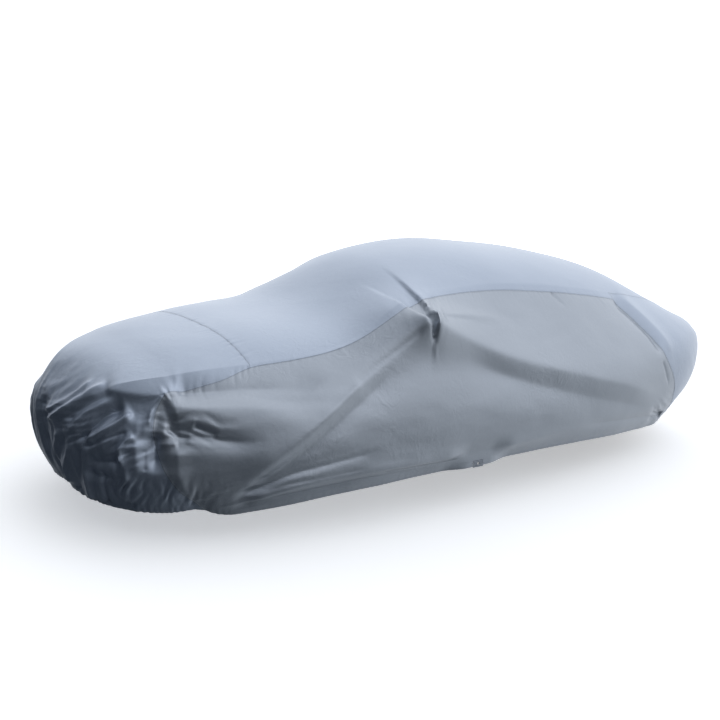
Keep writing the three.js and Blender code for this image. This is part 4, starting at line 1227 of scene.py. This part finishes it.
class Stitcher:
    """Lays stitches along lines with Geometry Nodes."""

    pitch = 6.4
    long = 4.6
    thread = 0.9

    def __init__(self, maker: SheetMaker, material: bpy.types.Material) -> None:
        """Build the node tree once."""
        self.maker = maker
        self.material = material
        self.tree = self.plan()

    @staticmethod
    def plan() -> bpy.types.NodeTree:
        """The tree: lines become curves, evenly spaced points, and one stitch on each."""
        tree = bpy.data.node_groups.new("seam_stitches", "GeometryNodeTree")
        for name, kind in (("Lines", "NodeSocketGeometry"), ("Pitch", "NodeSocketFloat"),
                           ("Length", "NodeSocketFloat"), ("Thread", "NodeSocketFloat"),
                           ("Thread Material", "NodeSocketMaterial")):
            tree.interface.new_socket(name, in_out="INPUT", socket_type=kind)
        tree.interface.new_socket("Stitches", in_out="OUTPUT", socket_type="NodeSocketGeometry")
        make = NodeMaker(tree)
        given = make.add("NodeGroupInput").outputs
        curve = make.add("GeometryNodeMeshToCurve", None, Mesh=given["Lines"])
        even = make.add("GeometryNodeResampleCurve", {"mode": "LENGTH"}, Curve=curve.outputs["Curve"],
                        Length=given["Pitch"])
        ahead = make.add("GeometryNodeInputTangent")
        turn = make.add("FunctionNodeAlignRotationToVector", {"axis": "Z"}, Vector=ahead.outputs["Tangent"])
        bead = make.add("GeometryNodeMeshUVSphere", None, Segments=4, Rings=4, Radius=0.5)
        size = make.add("ShaderNodeCombineXYZ", None, X=given["Thread"], Y=given["Thread"], Z=given["Length"])
        vary = make.add("FunctionNodeRandomValue", {"data_type": "FLOAT"}, i2=0.86, i3=1.06, Seed=7)
        scale = make.add("ShaderNodeVectorMath", {"operation": "SCALE"}, Vector=size.outputs["Vector"],
                         Scale=vary.outputs[1])
        laid = make.add("GeometryNodeInstanceOnPoints", None, Points=even.outputs["Curve"],
                        Instance=bead.outputs["Mesh"], Rotation=turn.outputs["Rotation"],
                        Scale=scale.outputs["Vector"])
        real = make.add("GeometryNodeRealizeInstances", None, Geometry=laid.outputs["Instances"])
        round_ = make.add("GeometryNodeSetShadeSmooth", None, Geometry=real.outputs["Geometry"])
        dressed = make.add("GeometryNodeSetMaterial", None, Geometry=round_.outputs["Geometry"],
                           Material=given["Thread Material"])
        make.add("NodeGroupOutput", None, i0=dressed.outputs["Geometry"])
        return tree

    def sew(self, name: str, runs: list[np.ndarray]) -> bpy.types.Object:
        """Stitch along lines.

        Args:
            name: The piece's name.
            runs: Lines of points in millimetres in the car's frame.

        Returns:
            The stitches as one mesh piece.
        """
        points = np.concatenate(runs)
        edges, start = [], 0
        for run in runs:
            edges += [(k, k + 1) for k in range(start, start + len(run) - 1)]
            start += len(run)
        data = bpy.data.meshes.new(name)
        data.from_pydata(self.maker.place(points).tolist(), edges, [])
        item = linked(name, data)
        layer = item.modifiers.new("stitches", "NODES")
        layer.node_group = self.tree
        values = {"Pitch": self.pitch * MM, "Length": self.long * MM, "Thread": self.thread * MM,
                  "Thread Material": self.material}
        for socket in self.tree.interface.items_tree:
            if socket.item_type == "SOCKET" and socket.in_out == "INPUT" and socket.name in values:
                layer[socket.identifier] = values[socket.name]
        return settle(item)


@dataclass(frozen=True)
class TabMaker:
    """The webbing tab in each side hem and the rolled eyelet pressed through it."""

    hole: float = 7.4
    eye_up: float = 22.0
    behind: float = 12.0
    thick: float = 1.9
    bore: float = 5.5
    flange: float = 11.6

    def tab(self, maker: SheetMaker, name: str, sign: int) -> bpy.types.Object:
        """The tab: flat webbing with a round hole, its top edge tucked behind the cloth.

        Args:
            maker: Turns points into meshes.
            name: The piece's name.
            sign: 1 for the left side, -1 for the right.

        Returns:
            The tab with its thickness.
        """
        turns, w, h = 96, TAB_WIDTH / 2 - 0.6, TAB_HEIGHT - 0.6
        angle = 2 * math.pi * np.arange(turns) / turns
        way = np.stack([np.cos(angle), np.sin(angle)], -1)
        reach = np.maximum(np.abs(way), 1e-9)
        over = h - self.eye_up
        limit = np.minimum(w / reach[:, 0], np.where(way[:, 1] > 0, over, self.eye_up) / reach[:, 1])
        for corner in ((w, over), (-w, over), (-w, -self.eye_up), (w, -self.eye_up)):
            away = angle - math.atan2(corner[1], corner[0])
            k = int(np.argmin(np.abs(np.angle(np.exp(1j * away)))))
            way[k], limit[k] = unit(np.array(corner)), math.hypot(*corner)
        shares = np.linspace(0, 1, 9) ** 0.8
        rings = [way * (self.hole + (limit[:, None] - self.hole) * f) for f in shares]
        flat = np.concatenate(rings)
        faces = [(k + r * turns, (k + 1) % turns + r * turns, (k + 1) % turns + (r + 1) * turns,
                  k + (r + 1) * turns) for r in range(len(shares) - 1) for k in range(turns)]
        rim = rings[-1]
        top = np.nonzero(np.abs(rim[:, 1] - over) < 1e-6)[0]
        top = top[np.argsort(rim[top, 0])] + (len(shares) - 1) * turns
        depth = np.zeros(len(flat))
        for up, back in ((0.8, 1.2), (2.0, 1.7), (self.behind, 1.8)):
            row = np.stack([flat[top, 0], np.full(len(top), over + up)], -1)
            first = len(flat)
            before = top if up == 0.8 else np.arange(first - len(top), first)
            flat, depth = np.concatenate([flat, row]), np.concatenate([depth, np.full(len(top), back)])
            faces += [(int(before[k]), int(before[k + 1]), first + k + 1, first + k)
                      for k in range(len(top) - 1)]
        height = TAB_LOW + self.eye_up + flat[:, 1]
        points = np.stack([TAB_X + flat[:, 0], -sign * (TAB_Y - depth), height], -1)
        faces = np.array(faces) if sign > 0 else np.array(faces)[:, ::-1]
        item = maker.mesh(name, points, faces, {"cut_cloth": flat[faces]})
        layer = item.modifiers.new("thickness", "SOLIDIFY")
        layer.thickness, layer.offset = self.thick * MM, -1.0
        edge = item.modifiers.new("worn_edges", "BEVEL")
        edge.width, edge.segments, edge.limit_method = 0.35 * MM, 2, "ANGLE"
        return settle(item)

    def eyelet(self, maker: SheetMaker, name: str, sign: int) -> bpy.types.Object:
        """The eyelet: a rolled flange in front, a barrel through the tab and a flat washer behind.

        Args:
            maker: Turns points into meshes.
            name: The piece's name.
            sign: 1 for the left side, -1 for the right.

        Returns:
            The closed ring.
        """
        roll = [(self.bore + 3.2 - 3.2 * math.cos(k), -0.1 - 1.3 * math.sin(k))
                for k in np.linspace(0, math.pi / 2, 8)]
        roll += [(self.bore + 3.2 + (self.flange - self.bore - 3.2) * math.sin(k), -0.1 - 1.3 * math.cos(k))
                 for k in np.linspace(0, math.pi / 2, 8)[1:]]
        back = self.thick + 0.1
        washer = [(self.flange - 0.3, back), (self.flange, back + 0.3), (self.flange - 0.3, back + 0.8),
                  (self.bore + 1.0, back + 1.0), (self.bore + 0.2, back + 0.7), (self.bore, back)]
        profile = [*roll, (self.hole - 0.4, 0.0), (self.hole - 0.4, back), *washer]
        turns, count = 64, len(profile)
        middle = TAB_LOW + self.eye_up
        points = np.array([(TAB_X + r * math.cos(k), -sign * (TAB_Y - d), middle + r * math.sin(k))
                           for k in 2 * math.pi * np.arange(turns) / turns for r, d in profile])
        faces = np.array([(k * count + i, k * count + (i + 1) % count,
                           (k + 1) % turns * count + (i + 1) % count, (k + 1) % turns * count + i)
                          for k in range(turns) for i in range(count)])
        item = maker.mesh(name, points, faces)
        ring = bmesh.new()
        ring.from_mesh(item.data)
        bmesh.ops.recalc_face_normals(ring, faces=ring.faces)
        ring.to_mesh(item.data)
        ring.free()
        item.data.set_sharp_from_angle(angle=math.radians(50))
        return item


def linear(code: str) -> tuple[float, float, float, float]:
    """A hex colour as linear light."""
    parts = (int(code[i:i + 2], 16) / 255 for i in (1, 3, 5))
    return (*(c / 12.92 if c <= 0.04045 else ((c + 0.055) / 1.055) ** 2.4 for c in parts), 1.0)


class NodeMaker:
    """Adds nodes to the tree of a material, a world or a Geometry Nodes group."""

    def __init__(self, tree: bpy.types.NodeTree) -> None:
        """Start on an empty tree."""
        self.tree = tree
        tree.nodes.clear()

    def add(self, kind: str, settings: dict | None = None, **sockets) -> bpy.types.Node:
        """Add a node, set its properties, and link or set its inputs.

        Args:
            kind: The node's type name.
            settings: Properties of the node itself.
            sockets: Inputs by name, with "_" for a space, or i0, i1 for a place in the list.

        Returns:
            The new node.
        """
        node = self.tree.nodes.new(kind)
        for key, value in (settings or {}).items():
            setattr(node, key, value)
        for key, value in sockets.items():
            place = int(key[1:]) if key[0] == "i" and key[1:].isdigit() else key.replace("_", " ")
            socket = node.inputs[place]
            if isinstance(value, bpy.types.NodeSocket):
                self.tree.links.new(value, socket)
            else:
                socket.default_value = value
        return node

    def math(self, operation: str, *values: bpy.types.NodeSocket | float) -> bpy.types.NodeSocket:
        """Add a maths node and give its result."""
        inputs = {f"i{k}": value for k, value in enumerate(values)}
        return self.add("ShaderNodeMath", {"operation": operation}, **inputs).outputs["Value"]

    def ramp(self, value: bpy.types.NodeSocket, stops: tuple[tuple[float, str], ...]) -> bpy.types.NodeSocket:
        """Add a colour ramp with these places and hex colours."""
        node = self.add("ShaderNodeValToRGB", None, Fac=value)
        for _ in stops[2:]:
            node.color_ramp.elements.new(0.5)
        for element, (at, code) in zip(node.color_ramp.elements, stops):
            element.position, element.color = at, linear(code)
        return node.outputs["Color"]

    def eased(self, value: bpy.types.NodeSocket, start: tuple[float, float],
              end: tuple[float, float]) -> bpy.types.NodeSocket:
        """Ease from one value to another.

        Args:
            value: What is read.
            start: Where it starts, and the result there.
            end: Where it ends, and the result there.

        Returns:
            The result.
        """
        return self.add("ShaderNodeMapRange", {"interpolation_type": "SMOOTHSTEP"}, Value=value,
                        From_Min=start[0], From_Max=end[0], To_Min=start[1], To_Max=end[1]).outputs["Result"]


def start_material(name: str) -> tuple[bpy.types.Material, NodeMaker, bpy.types.NodeSocket]:
    """A new material, what adds its nodes, and the place on the object that drives its patterns."""
    material = bpy.data.materials.new(name)
    material.use_nodes = True
    make = NodeMaker(material.node_tree)
    return material, make, make.add("ShaderNodeTexCoord").outputs["Object"]


@dataclass(frozen=True)
class ClothFinish:
    """A coated cloth: its colours, sheen and the sizes of its texture, in metres."""

    name: str
    light: str
    dark: str
    metallic: float = 0.78
    rough: float = 0.40
    thread: float = 0.0018
    wrinkle: float = 0.045
    crumple: float = 0.085


# The top cloth is the sides' silver coat tinted bluer: the extra blue is a painted reflection of the sky,
# used on the bonnet, front, roof and tail.
TOP_CLOTH_PAINTED_SKY = ClothFinish("silver_coated_polyester_top_painted_sky", "#b3bcc9", "#a2abb9")
SIDE_CLOTH = ClothFinish("silver_coated_polyester_side", "#b4bac2", "#9fa5ad")


def coat_colour(make: NodeMaker, finish: ClothFinish, place: bpy.types.NodeSocket, seam: bpy.types.NodeSocket,
                hem: bpy.types.NodeSocket) -> tuple[bpy.types.NodeSocket, bpy.types.NodeSocket]:
    """Colour: broad fading, fine mottling of the coat, a dark line at the seams and darkening towards the
    hem.

    Args:
        make: Adds the nodes.
        finish: The cloth's colours.
        place: Place on the object.
        seam: Distance to the nearest seam, in metres.
        hem: Distance to the hem, in metres.

    Returns:
        The colour, and the mottling, which the roughness follows too.
    """
    fading = make.add("ShaderNodeTexNoise", None, Vector=place, Scale=1.7, Detail=2.0, Roughness=0.5)
    mottle = make.add("ShaderNodeTexNoise", None, Vector=place, Scale=34.0, Detail=6.0,
                      Roughness=0.68).outputs["Fac"]
    both = make.math("MULTIPLY_ADD", mottle, 0.45, make.math("MULTIPLY", fading.outputs["Fac"], 0.6))
    coat = make.add("ShaderNodeMix", {"data_type": "RGBA"}, i0=both, i6=linear(finish.dark),
                    i7=linear(finish.light))
    line = make.eased(seam, (0.0006, 0.45), (0.0035, 0.0))
    # Darker towards the hem: up to 22 percent of the dark grey at the hem, gone 16 cm up, varied by the
    # mottling.
    darker_to_hem = make.math("MULTIPLY", make.eased(hem, (0.0, 0.22), (0.16, 0.0)), mottle)
    colour = make.add("ShaderNodeMix", {"data_type": "RGBA"}, i0=make.math("MAXIMUM", line, darker_to_hem),
                      i6=coat.outputs[2], i7=linear("#5c626b"))
    return colour.outputs[2], mottle


def cloth_relief(make: NodeMaker, finish: ClothFinish, place: bpy.types.NodeSocket,
                 seam: bpy.types.NodeSocket, hem: bpy.types.NodeSocket) -> bpy.types.NodeSocket:
    """Relief: soft wrinkles, foil-like crumples in patches, lapped seam and turned hem, and threads.

    Args:
        make: Adds the nodes.
        finish: The sizes of the texture.
        place: Place on the object.
        seam: Distance to the nearest seam, in metres.
        hem: Distance to the hem, in metres.

    Returns:
        The normal.
    """
    cut = make.add("ShaderNodeUVMap", {"uv_map": "cut_cloth"}).outputs["UV"]
    turns = make.add("ShaderNodeVectorMath", {"operation": "SCALE"}, Vector=cut,
                     Scale=2 * math.pi / finish.thread)
    warp = make.add("ShaderNodeSeparateXYZ", None, Vector=turns.outputs["Vector"])
    weave = make.math("MULTIPLY", *(make.math("SINE", warp.outputs[axis]) for axis in ("X", "Y")))
    wrinkle = make.add("ShaderNodeTexNoise", None, Vector=place, Scale=1 / finish.wrinkle, Detail=5.0,
                       Roughness=0.55, Distortion=0.7)
    folded = make.add("ShaderNodeTexNoise", None, Vector=place, Scale=1 / finish.crumple, Detail=3.0,
                      Roughness=0.5, Distortion=1.2)
    crease = make.math("ABSOLUTE", make.math("SUBTRACT", folded.outputs["Fac"], 0.5))
    spread = make.add("ShaderNodeTexNoise", None, Vector=place, Scale=2.3, Detail=1.0)
    patches = make.eased(spread.outputs["Fac"], (0.45, 0.0), (0.68, 1.0))
    lap = make.eased(seam, (0.007, 1.0), (0.0095, 0.0))
    turned = make.eased(hem, (0.021, 1.0), (0.024, 0.0))
    low = make.add("ShaderNodeBump", None, Strength=0.34, Distance=0.003, Height=wrinkle.outputs["Fac"])
    foil = make.add("ShaderNodeBump", None, Strength=make.math("MULTIPLY", patches, 0.3), Distance=0.012,
                    Height=crease, Normal=low.outputs["Normal"])
    bands = make.add("ShaderNodeBump", None, Strength=0.8, Distance=0.0006, Normal=foil.outputs["Normal"],
                     Height=make.math("ADD", lap, turned))
    fine = make.add("ShaderNodeBump", None, Strength=0.16, Distance=0.0002, Height=weave,
                    Normal=bands.outputs["Normal"])
    return fine.outputs["Normal"]


def cloth_material(finish: ClothFinish) -> bpy.types.Material:
    """Plain-woven polyester with an aluminium-pigmented coat rolled on: a soft metallic sheen.

    Thread of about 0.3 mm is usual in such cloth, and it is drawn at 1.8 mm so that it shows. The
    seams are lapped 8 mm and stitched down, and the hem is turned up 22 mm over its elastic, so both
    show as raised bands with a dark, slightly dirty line where the cloths meet.

    Args:
        finish: Its colours and sizes.

    Returns:
        The material.
    """
    material, make, place = start_material(finish.name)
    edges = make.add("ShaderNodeSeparateXYZ", None,
                     Vector=make.add("ShaderNodeUVMap", {"uv_map": "margins"}).outputs["UV"])
    seam, hem = edges.outputs["X"], edges.outputs["Y"]
    colour, mottle = coat_colour(make, finish, place, seam, hem)
    rough = make.add("ShaderNodeMapRange", None, Value=mottle,
                     To_Min=finish.rough - 0.07, To_Max=finish.rough + 0.09)
    shader = make.add("ShaderNodeBsdfPrincipled", None, Base_Color=colour, Metallic=finish.metallic,
                      Roughness=rough.outputs["Result"],
                      Normal=cloth_relief(make, finish, place, seam, hem))
    make.add("ShaderNodeOutputMaterial", None, Surface=shader.outputs["BSDF"])
    return material


def thread_material() -> bpy.types.Material:
    """Spun polyester sewing thread: matt, grey, a little uneven along its length."""
    material, make, place = start_material("polyester_sewing_thread")
    uneven = make.add("ShaderNodeTexNoise", None, Vector=place, Scale=240.0, Detail=3.0)
    colour = make.add("ShaderNodeMix", {"data_type": "RGBA"}, i0=uneven.outputs["Fac"],
                      i6=linear("#7f868f"), i7=linear("#a2a8b0"))
    # The thread's plies are 0.15 mm and are drawn at 0.6 mm.
    plies = make.add("ShaderNodeTexWave", {"bands_direction": "DIAGONAL"}, Vector=place, Scale=520.0)
    bump = make.add("ShaderNodeBump", None, Strength=0.4, Distance=0.0002, Height=plies.outputs["Fac"])
    shader = make.add("ShaderNodeBsdfPrincipled", None, Base_Color=colour.outputs[2], Roughness=0.62,
                      Sheen_Weight=0.2, Normal=bump.outputs["Normal"])
    make.add("ShaderNodeOutputMaterial", None, Surface=shader.outputs["BSDF"])
    return material


def webbing_material() -> bpy.types.Material:
    """Woven polyester webbing: ribs 1.6 mm apart along the tab, unevenly faded."""
    material, make, place = start_material("grey_polyester_webbing")
    parts = make.add("ShaderNodeSeparateXYZ", None, Vector=place)
    waves = []
    for axis, spacing in (("X", 0.0016), ("Z", 0.0022)):
        waves.append(make.math("SINE", make.math("MULTIPLY", parts.outputs[axis], 2 * math.pi / spacing)))
    weave = make.math("MULTIPLY", *waves)
    fade = make.add("ShaderNodeTexNoise", None, Vector=place, Scale=60.0, Detail=5.0, Roughness=0.65)
    colour = make.add("ShaderNodeMix", {"data_type": "RGBA"}, i0=fade.outputs["Fac"],
                      i6=linear("#8d949e"), i7=linear("#a9b0b9"))
    shade = make.add("ShaderNodeMapRange", None, Value=weave, From_Min=-1.0, From_Max=1.0,
                     To_Min=0.55, To_Max=0.85)
    bump = make.add("ShaderNodeBump", None, Strength=0.7, Distance=0.0004, Height=weave)
    shader = make.add("ShaderNodeBsdfPrincipled", None, Base_Color=colour.outputs[2],
                      Roughness=shade.outputs["Result"], Sheen_Weight=0.3, Normal=bump.outputs["Normal"])
    make.add("ShaderNodeOutputMaterial", None, Surface=shader.outputs["BSDF"])
    return material


def eyelet_material() -> bpy.types.Material:
    """Nickel-plated brass, pressed: bright, warm grey, finely scuffed and duller in patches."""
    material, make, place = start_material("nickel_plated_brass")
    dull = make.add("ShaderNodeTexNoise", None, Vector=place, Scale=180.0, Detail=5.0, Roughness=0.6)
    rough = make.add("ShaderNodeMapRange", None, Value=dull.outputs["Fac"], From_Min=0.3, From_Max=0.7,
                     To_Min=0.16, To_Max=0.34)
    colour = make.add("ShaderNodeMix", {"data_type": "RGBA"}, i0=dull.outputs["Fac"],
                      i6=linear("#b9b5ac"), i7=linear("#cfcdc8"))
    stretched = make.add("ShaderNodeMapping", None, Vector=place, Scale=(1.0, 1.0, 6.0))
    scuffs = make.add("ShaderNodeTexNoise", None, Vector=stretched.outputs["Vector"], Scale=700.0, Detail=3.0)
    bump = make.add("ShaderNodeBump", None, Strength=0.12, Distance=0.0001, Height=scuffs.outputs["Fac"])
    shader = make.add("ShaderNodeBsdfPrincipled", None, Base_Color=colour.outputs[2], Metallic=1.0,
                      Roughness=rough.outputs["Result"], Normal=bump.outputs["Normal"])
    make.add("ShaderNodeOutputMaterial", None, Surface=shader.outputs["BSDF"])
    return material


@dataclass(frozen=True)
class Camera:
    """The camera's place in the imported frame, its turn in radians and its lens."""

    place: tuple[float, float, float] = (-4.700, -5.209, 0.900)
    yaw: float = 0.666
    pitch: float = 0.249
    roll: float = 0.075
    lens: float = 53.37
    shift: tuple[float, float] = (-0.0007, 0.0075)

    def build(self) -> None:
        """Add the camera and make it the scene's."""
        data = bpy.data.cameras.new("view")
        data.lens, data.sensor_width = self.lens, 36.0
        data.shift_x, data.shift_y = self.shift
        data.clip_start, data.clip_end = 0.1, 100.0
        item = linked("view", data)
        level = math.cos(self.pitch)
        ahead = np.array([math.sin(self.yaw) * level, math.cos(self.yaw) * level, -math.sin(self.pitch)])
        right = np.array([math.cos(self.yaw), -math.sin(self.yaw), 0.0])
        up = np.cross(right, ahead)
        r = math.cos(self.roll) * right + math.sin(self.roll) * up
        u = -math.sin(self.roll) * right + math.cos(self.roll) * up
        turn = Matrix(np.stack([r, u, -ahead], 1).tolist()).to_4x4()
        item.matrix_world = Matrix.Translation(self.place) @ turn
        bpy.context.scene.camera = item


class Studio:
    """The pale floor, its curved backdrop and the soft light."""

    ground = -1.412
    reach = 14.0
    bend = 6.0
    low_light = ((0.0, "#252a30"), (0.3, "#2f343b"), (0.5, "#44494e"), (0.74, "#8b9095"), (0.95, "#d2d6db"))
    high_light = ((0.05, "#565b62"), (0.4, "#a4aab2"), (0.6, "#f1f5fc"))
    lamp_way = (0.68, 0.72, 0.12)

    def build(self) -> None:
        """Add the cove and the surrounding light."""
        self.cove()
        self.world()

    def cove(self) -> None:
        """A round pale floor that curves up into a wall all round and isn't part of the object."""
        profile = [(0.0, 0.0), (self.reach, 0.0)]
        profile += [(self.reach + self.bend * math.sin(k), self.bend * (1 - math.cos(k)))
                    for k in np.linspace(0, math.pi / 2, 17)[1:]]
        profile.append((self.reach + self.bend, 3 * self.bend))
        turns = 96
        angles = [2 * math.pi * k / turns for k in range(turns)]
        points = [(r * math.cos(k), r * math.sin(k), self.ground + z) for r, z in profile[1:] for k in angles]
        faces = [tuple(range(turns))]
        for ring in range(len(profile) - 2):
            for k in range(turns):
                a, b = ring * turns + k, ring * turns + (k + 1) % turns
                faces.append((a, b, b + turns, a + turns))
        data = bpy.data.meshes.new("cove")
        data.from_pydata(points, [], faces)
        data.polygons.foreach_set("use_smooth", [False] + [True] * (len(faces) - 1))
        item = linked("cove", data)
        material, make, place = start_material("matt_white_paper")
        away = make.add("ShaderNodeVectorMath", {"operation": "LENGTH"}, i0=place)
        glow = make.eased(away.outputs["Value"], (4.0, 0.42), (11.0, 1.0))
        shader = make.add("ShaderNodeBsdfPrincipled", None, Base_Color=linear("#f4f4f4"), Roughness=0.95,
                          Emission_Color=(1.0, 1.0, 1.0, 1.0), Emission_Strength=glow)
        make.add("ShaderNodeOutputMaterial", None, Surface=shader.outputs["BSDF"])
        data.materials.append(material)
        item.visible_glossy = item.visible_diffuse = item.visible_shadow = False

    def world(self) -> None:
        """Light from above and behind, dark towards the front and below."""
        world = bpy.data.worlds.new("soft_sky")
        world.use_nodes = True
        bpy.context.scene.world = world
        make = NodeMaker(world.node_tree)
        place = make.add("ShaderNodeTexCoord")
        way = place.outputs["Generated"]
        split = make.add("ShaderNodeSeparateXYZ", None, Vector=way)
        above = make.eased(split.outputs["Z"], (-0.14, 0.0), (0.62, 1.0))
        along = make.add("ShaderNodeMapRange", None, Value=split.outputs["X"], From_Min=-1.0, From_Max=1.0)
        low, high = (make.ramp(along.outputs["Result"], stops) for stops in (self.low_light, self.high_light))
        back = make.add("ShaderNodeVectorMath", {"operation": "DOT_PRODUCT"}, i0=way, i1=self.lamp_way)
        bright = make.eased(back.outputs["Value"], (0.45, 0.0), (1.0, 1.0))
        sky = make.add("ShaderNodeMix", {"data_type": "RGBA"}, i0=above, i6=low, i7=high)
        full = make.add("ShaderNodeMix", {"data_type": "RGBA"}, i0=bright,
                        i6=sky.outputs[2], i7=(1.12, 1.15, 1.2, 1.0))
        light = make.add("ShaderNodeBackground", None, Color=full.outputs[2], Strength=1.32)
        make.add("ShaderNodeOutputWorld", None, Surface=light.outputs["Background"])


CELLS = Cells(across=220, face=110, nose=52, roof=300, rear=72, side=395, down=112)


@dataclass(frozen=True)
class Panel:
    """What one cloth panel is cut from: its slot, its finish, its flat size, its area and the panels beside
    it.
    """

    slot: str
    finish: ClothFinish
    flat: tuple[float, float]
    area: float
    beside: tuple[str, ...]


PANELS = {
    "top_front": Panel("coated_cloth_top", TOP_CLOTH_PAINTED_SKY, (1.95, 1.30), 2.02, ("side_left", "side_right")),
    "top_main": Panel("coated_cloth_top", TOP_CLOTH_PAINTED_SKY, (1.70, 3.55), 5.10, ("side_left", "side_right")),
    "tail": Panel("coated_cloth_top", TOP_CLOTH_PAINTED_SKY, (0.95, 3.05), 2.56, ("side_left", "side_right")),
    "side_left": Panel("coated_cloth_side", SIDE_CLOTH, (1.12, 4.60), 3.81, ("top_main", "top_front")),
    "side_right": Panel("coated_cloth_side", SIDE_CLOTH, (1.12, 4.60), 3.72, ("top_main", "top_front")),
}


def dress(item: bpy.types.Object, material: bpy.types.Material) -> None:
    """Give a piece one material."""
    item.data.materials.clear()
    item.data.materials.append(material)


def report(item: bpy.types.Object) -> None:
    """Log a piece's triangles and area."""
    triangles = sum(len(face.vertices) - 2 for face in item.data.polygons)
    LOG.info("%s: %d triangles, %.3f square metres", item.name, triangles,
             sum(face.area for face in item.data.polygons) / 2)


def small_parts(maker: SheetMaker, sewn: Stitcher, runs: SeamRuns) -> dict[str, list[bpy.types.Object]]:
    """Make the tabs, the eyelets and every row of stitches.

    Args:
        maker: Turns points into meshes.
        sewn: Lays the stitches.
        runs: Where the stitches run.

    Returns:
        The pieces that go with each panel.
    """
    webbing, nickel, tabs = webbing_material(), eyelet_material(), TabMaker()
    rows = {
        "top_front": (runs.face_rows(False) + runs.edge_rows(PEAK, BONNET_SEAM)
                      + runs.bonnet_rows(-runs.beside)),
        "top_main": runs.edge_rows(BONNET_SEAM, TAIL) + runs.bonnet_rows(runs.beside),
        "tail": runs.face_rows(True) + runs.tail_rows(),
        "side_left": runs.side_rows(1),
        "side_right": runs.side_rows(-1),
    }
    with_panel = {}
    for node, lines in rows.items():
        stitches = sewn.sew(f"stitches_{node}", lines)
        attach(stitches, "root")
        with_panel[node] = [stitches]
    for side, sign in (("left", 1), ("right", -1)):
        tab = tabs.tab(maker, f"webbing_tab_{side}", sign)
        eyelet = tabs.eyelet(maker, f"rolled_eyelet_{side}", sign)
        for item, node, slot, material in ((tab, f"hem_tab_{side}", "tab_cloth", webbing),
                                           (eyelet, f"eyelet_{side}", "eyelet_metal", nickel)):
            dress(item, material)
            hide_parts(node)
            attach(item, "root")
        with_panel[f"side_{side}"] += [tab, eyelet]
    return with_panel


def main() -> None:
    """Build the cover and its studio."""
    logging.basicConfig(level=logging.INFO, format="%(message)s")
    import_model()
    form = PlainForm()
    cloth, maker = Cloth(form), SheetMaker(form)
    cells = CELLS
    cover = CoverMaker(maker, PanelCutter(cloth), cells)
    made = {
        "top_front": cover.top_front(),
        "top_main": cover.top_main(),
        "tail": cover.tail(),
        "side_left": cover.side("cover_side_left", 1),
        "side_right": cover.side("cover_side_right", -1),
    }
    with_panel = small_parts(maker, Stitcher(maker, thread_material()), SeamRuns(cloth))
    cloths = {finish.name: cloth_material(finish) for finish in (TOP_CLOTH_PAINTED_SKY, SIDE_CLOTH)}
    for node, panel in PANELS.items():
        item = thicken(made[node])
        dress(item, cloths[panel.finish.name])
        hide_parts(node)
        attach(item, "root")
        for piece in (item, *with_panel[node]):
            report(piece)
    Camera().build()
    Studio().build()
    bpy.context.scene.view_settings.view_transform = "Standard"


if __name__ == "__main__":
    main()
